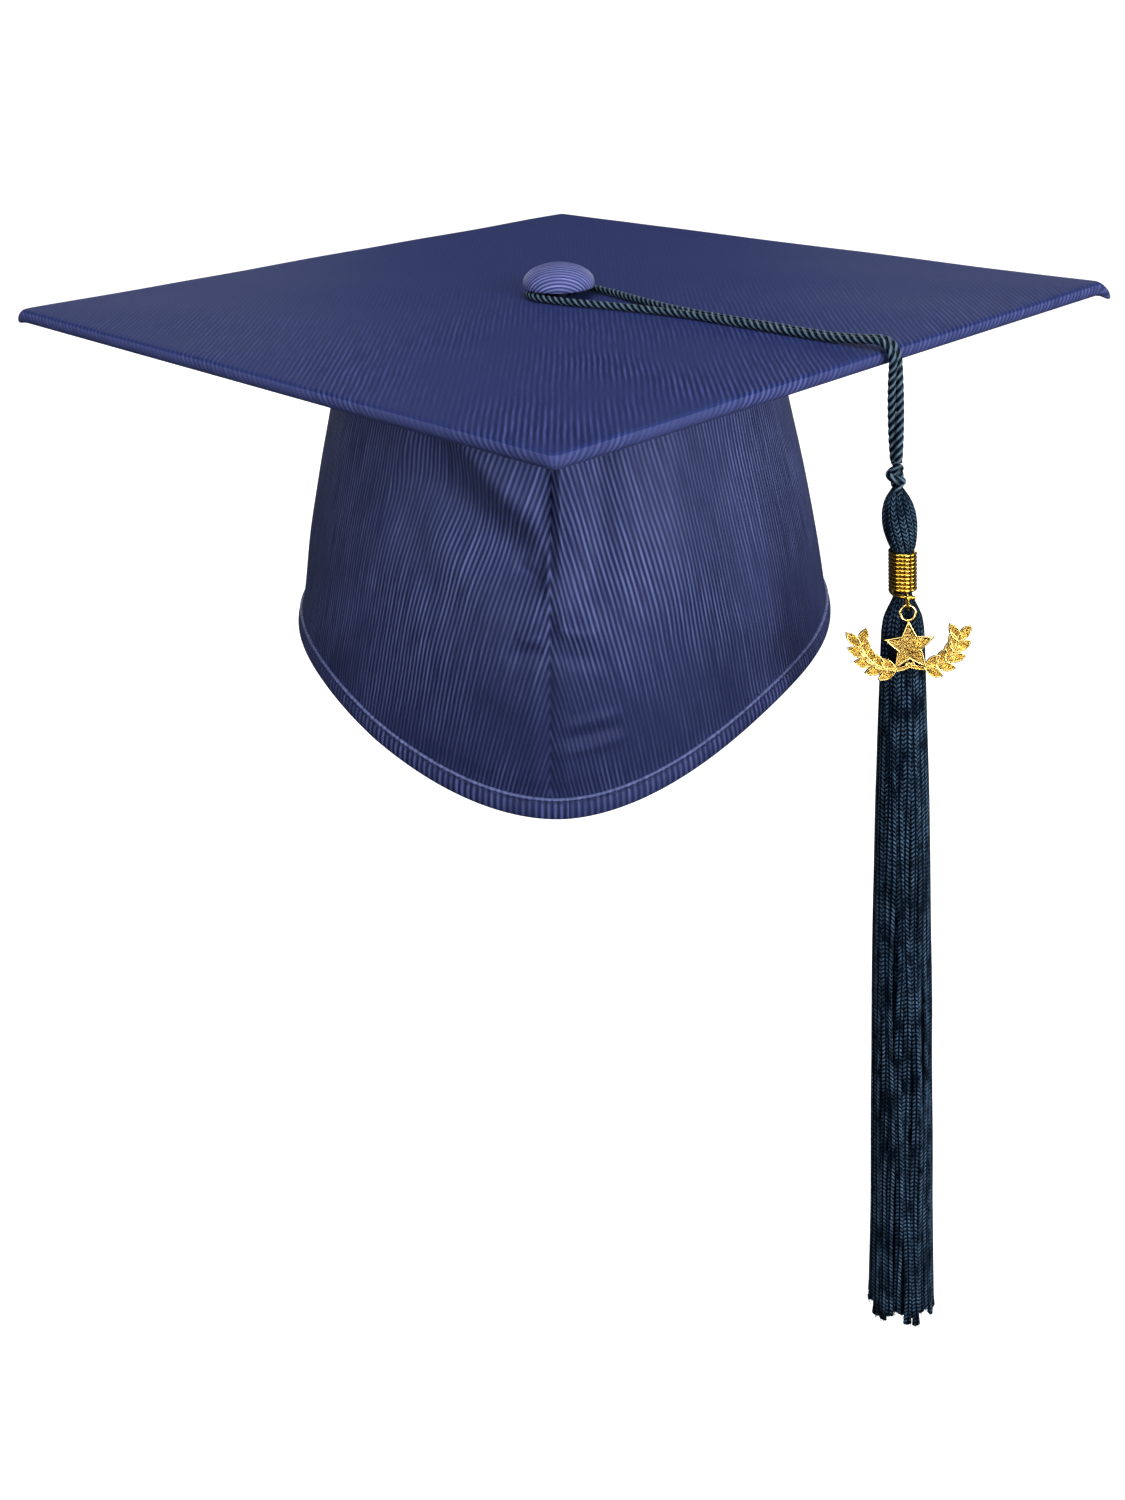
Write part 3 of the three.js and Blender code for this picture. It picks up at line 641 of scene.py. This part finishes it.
def make_skirt():
    """Cut chainette strands that hang from the ferrule in four rings round a middle one."""
    build, r = Build(), np.random.default_rng(11)
    sides = 10
    theta = circle(sides)
    cos, sin = np.cos(theta), np.sin(theta)
    rings = [(0.93, 23), (0.72, 17), (0.48, 11), (0.24, 6), (0.0, 1)]
    for k, (share, count) in enumerate(rings):
        for i in range(count):
            angle = 2 * PI * (i + 0.5 * (k % 2) + r.uniform(-0.12, 0.12)) / count
            across = 0.7071 * (math.sin(angle) + math.cos(angle)) * share
            end = SKIRT_BOTTOM - 2.2 + 2.2 * math.sin(7.5 * across + 0.6) - r.uniform(0, 2.6)
            s = np.concatenate([np.linspace(64, 82, 16), np.linspace(86, end, 64)])
            drift = waves(s / 46, np.full_like(s, i * 3.1 + k * 7), 1.6, 50 + k, 3)
            a = angle + drift * 0.05 * unit((s - 68) / 60)
            out = np.maximum(skirt_radius(s) - 0.65, 0) * share + 0.12 * drift
            line = spin(out, a, -s)
            twist = r.uniform(-0.3, 0.3) + 0.35 * waves(s / 60, s * 0 + i, 1.5, 90 + k, 3)
            radial = spin(1, a + twist, 0)
            along = np.stack([-np.sin(a + twist), np.cos(a + twist), 0 * a], 1)
            close = np.clip((s - 64) / 9, 0.45, 1)[:, None]
            wide = 1.12 * close * (1 + 0.05 * r.uniform(-1, 1))
            deep = 0.62 * close
            frayed = 1 + 0.25 * unit((s - end + 2.5) / 2.5)[:, None]
            points = swept(line, deep * frayed * sin[None], wide * frayed * cos[None], radial, along)
            uv = plain_uv(len(s), sides, 2.0, 0)
            uv[..., 0] += 0.5 + 2 * r.integers(0, 9)
            uv[..., 1] = s[:, None] + r.uniform(0, 3)
            build.grid(in_tassel(points), uv, closed=True, caps=True)
            for _ in range(5 if k < 3 else 0):
                add_fibre(build, line[-1], r)
    skirt = build.object("tassel_skirt", [RAYON])
    seat(skirt, "tassel", "rayon_skirt", *(f"skirt_strand_{i:02d}" for i in range(1, 20)))


def add_fibre(build, tip, r):
    """A loose end of yarn at a strand's cut."""
    t = np.linspace(0, 1, 5)[:, None]
    start = tip + col(*r.uniform(-0.8, 0.8, 2), 1.2)
    lean = col(*r.uniform(-0.9, 0.9, 2), 0)
    line = start + t * col(0, 0, -r.uniform(2.0, 3.6)) + lean * t**2
    round_tube(build, in_tassel(line), np.linspace(0.13, 0.05, 5), 4)


def make_ferrule():
    """Gold wire wound close round the neck. Its free end stands out and holds the link."""
    per = 36
    left = np.linspace(COIL_TURNS, 0, int(COIL_TURNS * per) + 1)
    flare = np.maximum(0, 1 - left / 0.3) ** 1.5
    radius = COIL_R + EYE_REACH * flare
    angle = -PI / 4 + EYE_PAST - left * 2 * PI
    z = -(COIL_TOP + (COIL_TURNS - left) * COIL_PITCH)
    line = spin(radius, angle, z)
    build = Build()
    round_tube(build, in_tassel(line), WIRE_R * WIRE_SWELL, 14)
    seat(build.object("ferrule_wire", [GOLD]), "tassel", "gold_wire", "ferrule_coil")


# ---- Charm ----


def quadratic(a, b, c, count):
    t = np.linspace(0, 1, count, endpoint=False)[:, None]
    return (1 - t) ** 2 * col(*a) + 2 * t * (1 - t) * col(*b) + t**2 * col(*c)


def star_outline():
    points = []
    for i in range(10):
        a = PI / 2 + i * PI / 5
        r = STAR_INNER if i % 2 else STAR_OUTER
        points.append((r * math.cos(a), r * math.sin(a)))
    corners = np.array(points)
    return np.vstack([a + (b - a) * t for a, b in zip(corners, np.roll(corners, -1, 0))
                      for t in (0, 0.1, 0.3, 0.5, 0.7, 0.9)])


def leaf_outline(length=5.2, width=2.7, root=0.8):
    low = quadratic((-root, 0), (length / 2, -width), (length, 0), 12)
    high = quadratic((length, 0), (length / 2, width), (-root, 0), 12)
    return np.vstack([low, high])


def stem_outline():
    a = np.linspace(-PI * 0.69, -PI * 0.08, 40)
    arc = np.stack([np.cos(a), np.sin(a)], 1)
    return np.vstack([(STEM_R + STEM_HALF) * arc, (STEM_R - STEM_HALF) * arc[::-1]])


def inset(outline, distance):
    """An anticlockwise outline moved inwards."""
    before, after = outline - np.roll(outline, 1, 0), np.roll(outline, -1, 0) - outline
    normals = [unit_rows(np.stack([-e[:, 1], e[:, 0]], 1)) for e in (before, after)]
    middle = unit_rows(normals[0] + normals[1])
    return outline + middle * distance / np.maximum(0.42, (middle * normals[0]).sum(1))[:, None]


def cast_plate(build, outline, thick, place, rim=1.0):
    """A cast plate with a rounded polished rim (material 0) round a sunk granular face (material 1)."""
    t = thick / 2
    profile = [(0.22, -t), (0.06, 0.06 - t), (0, 0.2 - t), (0, t - 0.2), (0.06, t - 0.06), (0.2, t),
               (0.34, t - 0.02), (0.46, t - 0.12), (0.54, t - 0.28)]
    rings = [np.column_stack([inset(outline, d * rim), np.full(len(outline), h)]) for d, h in profile]
    no_uv = np.zeros((len(rings), len(outline) + 1, 2))
    build.grid(place(np.array(rings)), no_uv, closed=True, caps=True)
    build.mats[-1] = 1


def make_charm():
    """A star between two laurel sprigs, cast with the ring that it hangs from."""
    build = Build()
    middle = -(2 * LOOP_RING_R + STAR_OUTER - 0.2)
    t = np.linspace(0, 2 * PI, 49)
    ring = np.stack([LOOP_RING_R * np.sin(t), LOOP_RING_R * np.cos(t) - LOOP_RING_R, 0 * t], 1)
    round_tube(build, in_charm(ring), LOOP_WIRE_R, 14)
    cast_plate(build, star_outline(), 1.5, lambda p: in_charm(p + col(0, middle, 0)), 1.0)
    for side in (1, -1):
        def placed(p, turn, x, y, lift=0.0):
            return in_charm((p @ turn_z(turn).T + col(x, y, lift)) * col(side, 1, 1))
        cast_plate(build, stem_outline(), 0.95, lambda p: placed(p, 0, STEM_OUT, middle + STEM_UP), 0.7)
        for i in range(5):
            a = -PI * (0.5 - 0.42 * i / 4)
            x, y = STEM_OUT + STEM_R * math.cos(a), middle + STEM_UP + STEM_R * math.sin(a)
            for spread, lift in ((-0.5, 0.05), (0.7, 0.0)):
                cast_plate(build, leaf_outline(), 1.2 + 0.1 * lift,
                           lambda p, q=(a + PI / 2 + spread, x, y, lift): placed(p, *q), 0.72)
    seat(build.object("charm_cast", [GOLD_RIM, GOLD_FACE]), "charm", "gold_charm", "charm")


def make_link():
    t = np.linspace(0, 2 * PI, 65)
    y = LINK_HALF * np.cos(t)
    y = np.where(y < 0, y - LINK_LENGTH, y)
    ring = np.stack([0 * t, y, LINK_HALF * np.sin(t)], 1)
    build = Build()
    round_tube(build, in_charm(even(ring, 0.12), 0.0), LINK_WIRE_R, 12)
    seat(build.object("charm_link_wire", [GOLD]), "charm_link", "gold_wire", "charm_link")


# ---- Board ----


def square_ring(half, corner, per_side, per_corner):
    """Points round a square with round corners, and the outward direction at each."""
    points, normals = [], []
    for k in range(4):
        middle = turn_z(k * PI / 2)[:2, :2]
        t = np.linspace(-(half - corner), half - corner, per_side, endpoint=False)
        points.append(np.stack([np.full_like(t, half), t], 1) @ middle.T)
        normals.append(np.tile(middle[:, 0], (per_side, 1)))
        a = np.linspace(0, PI / 2, per_corner, endpoint=False)
        centre = col(half - corner, half - corner)
        arc = np.stack([np.cos(a), np.sin(a)], 1)
        points.append((centre + corner * arc) @ middle.T)
        normals.append(arc @ middle.T)
    return np.vstack(points), np.vstack(normals)


def board_cloth(flat, z, uv):
    """Cloth made of rings about the middle, which is filled."""
    build = Build()
    uv = np.concatenate([uv, uv[:, :1]], 1)
    build.grid(np.concatenate([flat, z[..., None]], -1), uv, closed=True)
    build.cap(np.arange(flat.shape[1]), uv[0, :-1])
    return build


def make_board_cover():
    """One square of satin drawn over the card, round its edges and under as a hem. Its ribs run from the
    back corner to the front one."""
    half, edge = BOARD_SIDE / 2, BOARD_EDGE_R
    per_side, per_corner = 120, 8
    outline, normal = square_ring(half - edge, 0.9, per_side, per_corner)
    quarter = PI / 2 * edge
    levels, heights, cloth = [], [], []

    def add_ring(xy, height, on_cloth):
        levels.append(xy)
        heights.append(np.full(len(xy), height))
        cloth.append(on_cloth)

    for share in np.linspace(0.02, 1, 42) ** 0.9:
        add_ring(outline * share, BOARD_TOP, outline * share)
    for t in np.linspace(0.12, 1, 8):
        a = t * PI / 2
        add_ring(outline + normal * edge * math.sin(a), BOARD_TOP - edge + edge * math.cos(a),
                 outline + normal * quarter * t)
    for t in np.linspace(0.1, 1, 9):
        a = t * PI / 2
        add_ring(outline + normal * edge * math.cos(a), BOARD_FOOT + edge - edge * math.sin(a),
                 outline + normal * (quarter * (1 + t) + 0.2))
    for t in (0.3, 0.7, 1.0):
        add_ring(outline - normal * (HEM - 2) * t, BOARD_FOOT + 0.02,
                 outline + normal * (2 * quarter + 0.2 + (HEM - 2) * t))
    flat = np.array(levels) @ TO_DIAGONAL
    z = np.array(heights)
    from_button = np.hypot(flat[..., 0], flat[..., 1])
    top = z > BOARD_TOP - 1
    dip = 0.45 * bell(from_button, 13)
    z = z + np.where(top, 0.16 * waves(flat[..., 0], flat[..., 1], 55, 21) - dip, 0)
    side = ~top & (z > BOARD_FOOT + 0.3)
    flat = flat * (1 + np.where(side | top, 0.0009 * waves(flat[..., 0], flat[..., 1], 38, 22), 0)[..., None])
    ear = unit((np.abs(flat[..., 0]) - 167.2) / 2.4)  # a small point of spare satin at each side corner
    right = flat[..., 0] > 0
    z = z - ear**1.4 * np.where(right, 3.0, 1.2)
    flat[..., 1] *= 1 - 0.3 * ear
    flat[..., 0] += np.sign(flat[..., 0]) * ear * np.where(right, 2.4, 0.4)
    build = board_cloth(flat, z, np.array(cloth) @ TO_DIAGONAL)
    # The edge rows take the lighter copy of the satin, painted light.
    edge_start, edge_end = (row * len(outline) for row in EDGE_ROWS)
    build.mats[edge_start:edge_end] = [1] * (edge_end - edge_start)
    cover = seat(build.object("board_satin", [SATIN, SATIN_EDGE_PAINTED_LIGHT]), "cap", "satin", "board_top_cover")


def make_board_lining():
    """The satin facing that hides the hem under the board."""
    half = BOARD_SIDE / 2 - UNDER_INSET
    outline, _ = square_ring(half, BOARD_CORNER, 60, 6)
    flat = np.array([outline * share for share in np.linspace(0.01, 1, 40)]) @ TO_DIAGONAL
    z = UNDER_LOW + 0.05 * waves(flat[..., 0], flat[..., 1], 45, 31)
    z[-3:] += np.array([0.0, 0.1, 0.3])[:, None]
    facing = board_cloth(flat, z, flat).object("board_facing", [SATIN])
    lining = seat(facing, "cap", "satin", "board_under_cover")


def make_button():
    """Satin drawn over the button's shell and gathered under it, with its ribs from side to side."""
    sides = 96
    profile = np.array([(6.6, 3.0), (8.6, 2.75), (10.2, 2.6), (11.0, 2.8), (11.35, 3.5), (11.25, 4.6),
                        (10.9, 5.7), (10.2, 6.8), (9.1, 7.9), (7.6, 8.8), (5.9, 9.5), (4.0, 10.05), (2, 10.3),
                        (0.3, 10.35)])
    t = np.linspace(0, len(profile) - 1, 60)
    r, h = (np.interp(t, np.arange(len(profile)), profile[:, k]) for k in range(2))
    for _ in range(4):
        r[1:-1], h[1:-1] = (r[:-2] + r[1:-1] * 2 + r[2:]) / 4, (h[:-2] + h[1:-1] * 2 + h[2:]) / 4
    a = circle(sides)
    gather = unit((3.4 - h) / 0.7)[:, None] * 0.16 * np.sin(24 * a)[None]
    radius = r[:, None] + gather
    points = spin(radius, a, BOARD_TOP + h[:, None])
    draw = length_of(np.stack([r, h, h * 0], 1)) - np.concatenate(
        [[0], np.cumsum(np.hypot(np.diff(r), np.diff(h)))])
    around = np.append(a, 2 * PI)
    uv = np.stack([draw[:, None] * np.sin(around), draw[:, None] * np.cos(around)], -1)
    build = Build()
    build.grid(points, uv, closed=True)
    build.cap((len(r) - 1) * sides + np.arange(sides), uv[-1, :-1])
    button = seat(build.object("button_satin", [SATIN_BUTTON]), "cap", "satin", "button_cover")


# ---- Crown ----


def rim_height(angle):
    """The stitched rim sits a little lower and further to the wearer's right than the plain CAD one."""
    return RIM_SIDE - (FRONT_DIP + 1.2) * np.maximum(0, np.cos(angle + 0.045)) ** DIP_POWER - sag(angle)


def sag(angle):
    """The rim hangs a little at the front of the wearer's left side."""
    return 1.6 * bell(angle - 1.15, 0.3)


def crown_point(angle, z, out=0.0):
    """A point of the crown wall, moved outwards. The angle is 0 at the front seam and PI / 2 on +X."""
    down = (CROWN_TOP - z) / (CROWN_TOP - RIM_SIDE)
    half = TOP_HALF + (RIM_HALF - TOP_HALF) * down[..., None] + np.asarray(out)[..., None]
    exponent = np.where(np.cos(angle) > 0, 2 / FRONT_POWER, 1.0)
    x = np.sign(np.sin(angle)) * np.abs(np.sin(angle)) ** exponent
    y = np.sign(np.cos(angle)) * np.abs(np.cos(angle)) ** exponent
    return np.stack([half[..., 0] * x, -half[..., 1] * y, z], -1)


def girth():
    """Distance round the rim from the front seam against angle, for half of the crown."""
    a = np.linspace(0, PI, 721)
    return a, distances(crown_point(a, np.full_like(a, RIM_SIDE)))


GIRTH_ANGLE, GIRTH = girth()
HALF_GIRTH = GIRTH[-1]


def seam_skew(angle, z):
    """The front seam was sewn askew: it starts to the wearer's right of the middle and runs further that way."""
    share = unit((CROWN_TOP - z) / 118)
    return -(0.038 + 0.035 * share) * unit(1 - np.abs(angle) / PI) ** 1.5


def crease(u, z, start, end, depth, width):
    """A soft fold along a line on the wall. u is the distance from the front seam, z the height."""
    (u0, z0), (u1, z1) = start, end
    du, dz = u1 - u0, z1 - z0
    long = math.hypot(du, dz)
    t = ((u - u0) * du + (z - z0) * dz) / long**2
    off = ((u - u0) * dz - (z - z0) * du) / long
    fade = unit(1 - np.abs(2 * t - 1) ** 3) * (np.abs(2 * t - 1) < 1)
    return depth * fade * bell(off, width)


# Each fold of the crown's cloth: start, end, height and half width. A point is (distance from the seam, z).
WEARERS_RIGHT_FOLDS = [
    ((44, 101), (-4, 60), 7.0, 7.0), ((54, 77), (-6, 45), -6.4, 9.0), ((11, 51), (-2, 45.5), -2.2, 2.0),
    ((9, 35), (-2, 36), 1.9, 2.2), ((12, 29), (-2, 31), -1.6, 2.4), ((62, 92), (26, 48), 2.2, 9),
    ((58, 70), (20, 30), -1.8, 8), ((20, 20), (2, 14), 0.7, 5)]
WEARERS_LEFT_FOLDS = [
    ((1, 108), (3, 50), 4.4, 3.6), ((17, 92), (14, 42), -4.2, 6.0), ((-2, 40), (14, 35), 2.4, 2.8),
    ((-2, 31), (17, 27), -1.1, 2.6), ((2, 9), (20, 12), 0.9, 1.5), ((1, 5), (21, 8), -0.8, 1.4),
    ((1, 1), (22, 4.5), 0.8, 1.4), ((45, 95), (34, 30), 2.2, 8), ((70, 88), (60, 25), -1.4, 9)]


def fuller(u):
    """How much fuller the wearer's right side is, between the seams."""
    return 2.3 * unit(u / 60) * unit((HALF_GIRTH - u) / 60)


def gathered(u):
    """How much the elastic at the back draws the cloth up."""
    return unit((u - HALF_GIRTH + 95) / 30)


def back_gather(u, lift=0.0):
    """The small pleats that the elastic draws up at the back of the rim."""
    return gathered(u) * 0.5 * np.sin(2 * PI * u / PLEAT)


def wall_relief(side, u, z, angle):
    """How far the satin stands out from the plain crown wall."""
    rim = rim_height(angle)
    share = (z - rim) / (CROWN_TOP - rim)
    front = bell(u, 45)
    belly = (0.8 + 6.2 * front) * bell(share - 0.42, 0.25)
    hold = unit((share - 0.035) / 0.05) * unit((1 - share) / 0.06)
    out = 0.6 * bell(u - 3.4, 2.6)
    for fold in WEARERS_RIGHT_FOLDS if side < 0 else WEARERS_LEFT_FOLDS:
        out = out + crease(u, z, *fold)
    out = out + 0.35 * waves(u, z, 34, 40 + side)
    out = out * (1 - bell(u, 1.6)) + belly - 0.8 * bell(u, 0.7)
    pleats = np.sin(2 * PI * u / PLEAT + 0.8 * waves(u, z, 20, 5))
    out = out + gathered(u) * 0.55 * pleats * bell(z - 7, 12)
    return out * hold + (side < 0) * fuller(u) * (0.6 + 0.4 * (1 - share))


def panel_weave(u, z):
    """The ribs stand upright at the sides and lean outwards, going down, beside the front seam."""
    lean = 0.10 * np.cos(PI * u / HALF_GIRTH) + 0.24 * np.exp(-u / 45)
    return np.stack([u + (z - 45) * lean, z], -1)


def make_panel(side, name, node):
    t = np.linspace(0, 1, 300)
    u = HALF_GIRTH * (0.35 * t + 0.65 * t**1.8)
    u = HALF_GIRTH * u / u[-1]
    angle = np.interp(u, GIRTH, GIRTH_ANGLE)
    share = np.linspace(0, 1, 110)[:, None]
    foot = rim_height(angle) + 0.1 + (sag(angle) if side < 0 else 0)
    z = foot[None] + (CROWN_TOP + 0.25 - foot[None]) * share
    uu = np.broadcast_to(u[None], z.shape)
    aa = np.broadcast_to(angle[None], z.shape)
    relief = wall_relief(side, uu, z, aa)
    turned = aa * side
    points = crown_point(turned + seam_skew(turned, z), z, relief)
    uv = panel_weave(uu, z)
    uv[..., 0] *= side
    build = Build()
    build.grid(points, uv)
    panel = seat(build.object(name, [SATIN_CROWN]), "cap", "satin", node)


def shift_out(angle):
    """The rim stands out further on the wearer's right, as the panel there does."""
    return (angle < 0) * fuller(np.interp(np.abs(angle), GIRTH_ANGLE, GIRTH))


def round_rim(u):
    """(distance from the front seam, angle) at distances that go right round the rim."""
    half = np.where(u < HALF_GIRTH, u, 2 * HALF_GIRTH - u)
    return half, np.interp(half, GIRTH, GIRTH_ANGLE) * np.where(u < HALF_GIRTH, 1, -1)


def ring_band(build, profile, columns, ripple):
    """A band right round the rim, from (outwards, height above the rim) pairs."""
    half, angle = round_rim(np.linspace(0, 2 * HALF_GIRTH, columns, endpoint=False))
    outs, lifts = (column[:, None] for column in np.array(profile, float).T)
    aa = np.broadcast_to(angle[None], (len(profile), columns))
    z = rim_height(angle)[None] + lifts
    points = crown_point(aa, z, outs + ripple(half[None], lifts) + shift_out(aa))
    girth_at = np.linspace(0, 2 * HALF_GIRTH, columns + 1)
    width = np.concatenate([[0], np.cumsum(np.hypot(np.diff(outs[:, 0]), np.diff(lifts[:, 0])))])
    build.grid(points, np.stack(np.meshgrid(girth_at, width), -1), closed=True)


def make_binding():
    """A folded strip of satin sewn over the raw rim of the crown."""
    build = Build()
    profile = [(0.0, 5.1), (0.5, 5.1), (0.85, 4.9), (0.9, 4.55), (0.6, 4.2), (0.55, 3.7), (0.8, 3.0), (0.95, 2.0),
               (0.9, 0.9), (0.7, -0.1), (0.1, -0.9), (-0.6, -1.25), (-1.7, -1.1), (-2.5, -0.4), (-2.95, 0.8),
               (-3.0, 3), (-2.8, 5.2)]
    ring_band(build, profile, 620, ripple=back_gather)
    binding = seat(build.object("rim_binding_roll", [SATIN_BINDING]), "cap", "satin", "rim_binding")


def make_stitches():
    """The row of stitches that holds the binding."""
    build = Build()
    pitch = 2.6
    count = int(2 * HALF_GIRTH / pitch)
    for k in range(count):
        u = (np.linspace(0.08, 0.86, 5) + k) * pitch
        half, angle = round_rim(u)
        arch = np.sin(np.linspace(0, PI, 5))
        out = 0.45 + 0.22 * arch + back_gather(half) + shift_out(angle)
        line = crown_point(angle, rim_height(angle) + 4.0, out)
        round_tube(build, line, 0.12 + 0.1 * arch, 6)
    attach(build.object("binding_stitches", [THREAD]), "cap")


def inner_wall(name, material, angles, out, foot, top, rows, cols, body_slot, node, fluff=0.0, ripple=0.0):
    angle = np.linspace(*angles, cols)
    low = rim_height(angle) + foot
    z = low[None] + (np.asarray(top(angle))[None] - low[None]) * np.linspace(0, 1, rows)[:, None]
    aa = np.broadcast_to(angle[None], z.shape)
    far = np.interp(np.abs(np.where(aa > PI, 2 * PI - aa, aa)), GIRTH_ANGLE, GIRTH)
    shift = fluff * waves(far, z, 30, 77) + ripple * np.sin(2 * PI * far / 3.1)
    around = np.where(aa > PI, aa - 2 * PI, aa)
    clear = 3.0 * unit((z - 36) / 12) * unit((CROWN_TOP - 1 - z) / 3)
    points = crown_point(aa + seam_skew(around, z), z, out + shift - clear)
    uv = np.stack([far, z], -1)
    build = Build()
    build.grid(points, uv)
    made = seat(build.object(name, [material]), "cap", body_slot, node)
    return made, (length_of(points[rows // 2]) * MM, float(np.mean(z[-1] - z[0])) * MM)


def make_linings():
    seam = math.radians(5)
    back = math.radians(115)
    top = lambda a: np.full_like(a, LINING_TOP)
    for side, name in ((1, "left"), (-1, "right")):
        lining, _ = inner_wall(f"buckram_{name}", BUCKRAM, (1.4 * seam * side, back * side), -1.2, 1, top, 30, 80,
                               "buckram", f"crown_stiffener_{name}", 0.1)
    for end, middle, foot in (("front", 0, 1), ("back", PI, 16)):
        tape, size = inner_wall(f"{end}_tape", TAPE, (middle - seam, middle + seam), -1.0, foot, top, 30, 12,
                                "seam_tape", f"{end}_seam_tape")
    elastic, size = inner_wall("elastic_band", ELASTIC, (back + 0.05, 2 * PI - back - 0.05), -1.2, 2,
                               lambda a: rim_height(a) + 14, 8, 400, "elastic", "back_elastic", 0, 0.22)
    build = Build()
    ring_band(build, [(-2.35, 1), (-2.05, 1), (-1.9, 8), (-1.85, 18), (-1.9, 28), (-2.0, 32), (-2.3, 32.3)], 360,
              ripple=lambda u, lift: 0.25 * waves(u, lift, 26, 61))
    band = seat(build.object("sweatband_lining", [BAND]), "cap", "sweatband", "sweatband")


def dress_cad_nodes():
    """The CAD nodes that stay in sight keep their shape and get a material."""
    flat_xy = lambda n: tuple(n.object_mm()[:2])
    tip = flat_weave("buckram_tip", *BUCKRAM_TONES, thread=1.3, coords=flat_xy)
    kinds = {"board_core": card("greyboard"), "crown_tip": tip, "button_shell": STEEL,
             "button_back_plate": metal("button_lacquer", (0.012, 0.014, 0.03), 0.4), "button_rivet": STEEL,
             "rivet_washer": STEEL}
    for name, material in kinds.items():
        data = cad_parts[name].data
        data.materials.clear()
        data.materials.append(material)


# ---- Studio ----


LIGHTS = [  # name, place and size in metres, power in watts
    ("key", (0.85, -1.35, 0.50), (0.7, 0.5), 24), ("fill", (-1.1, -1.1, 0.4), (0.6, 0.6), 7),
    ("side", (1.5, -0.45, 0.25), (0.5, 0.6), 8), ("front", (-0.25, -1.7, 0.6), (0.5, 0.5), 6),
    ("top", (0.0, -0.45, 1.5), (1.3, 0.9), 16), ("back_left", (-0.6, 1.6, 0.15), (0.6, 0.6), 3),
    ("back_right", (0.6, 1.6, 0.15), (0.6, 0.6), 3)]
AIM = (0, 0, 0.03)
PAPER_HALF, FLOOR_Z = 9.0, -0.30


def area_light(name, place, size, power):
    data = bpy.data.lights.new(name, "AREA")
    data.shape = "RECTANGLE"
    data.size, data.size_y = size
    data.energy = power
    light = add_object(name, data)
    light.location = place
    light.rotation_euler = (Vector(AIM) - Vector(place)).to_track_quat("-Z", "Y").to_euler()


def add_studio():
    world = bpy.data.worlds.new("studio")
    world.use_nodes = True
    tree = world.node_tree
    split, ramp = tree.nodes.new("ShaderNodeSeparateXYZ"), tree.nodes.new("ShaderNodeMapRange")
    tree.links.new(tree.nodes.new("ShaderNodeTexCoord").outputs["Generated"], split.inputs[0])
    tree.links.new(split.outputs[2], ramp.inputs["Value"])
    for key, number in (("From Min", -0.45), ("From Max", 0.4), ("To Min", 0.03), ("To Max", 0.26)):
        ramp.inputs[key].default_value = number
    tree.nodes["Background"].inputs[0].default_value = (1, 1, 1, 1)
    tree.links.new(ramp.outputs[0], tree.nodes["Background"].inputs[1])
    bpy.context.scene.world = world
    for light in LIGHTS:
        area_light(*light)
    n = Nodes("white_floor", Specular_IOR_Level=0.0, Roughness=1.0, Emission_Strength=1.0)
    n.shader.inputs["Emission Color"].default_value = (1, 1, 1, 1)
    n.set(Base_Color=n.mix(n.noise(n.join(*n.object_mm()), 0.004, 3), (0.38, 0.38, 0.38), (0.42, 0.42, 0.42)))
    corners = [(x * PAPER_HALF, y * PAPER_HALF, z) for z in (FLOOR_Z, PAPER_HALF)
               for x, y in ((-1, -1), (1, -1), (1, 1), (-1, 1))]
    walls = [(k, (k + 1) % 4, (k + 1) % 4 + 4, k + 4) for k in range(4)] + [(4, 5, 6, 7)]
    for name, faces in (("floor", [(0, 1, 2, 3)]), ("backdrop", walls)):
        mesh = bpy.data.meshes.new(name)
        mesh.from_pydata(corners, [], faces)
        mesh.materials.append(n.material)
        paper = add_object(name, mesh)
        paper.visible_diffuse = paper.visible_glossy = False  # the white paper doesn't light the cap
        paper.visible_shadow = name == "floor"
    bpy.context.scene.view_settings.view_transform = "Standard"


add_camera()
make_cord()
make_knot()
make_head()
make_skirt()
make_ferrule()
make_charm()
make_link()
make_board_cover()
make_board_lining()
make_button()
make_panel(1, "crown_panel_satin_left", "crown_panel_left")
make_panel(-1, "crown_panel_satin_right", "crown_panel_right")
make_binding()
make_stitches()
make_linings()
dress_cad_nodes()
add_studio()
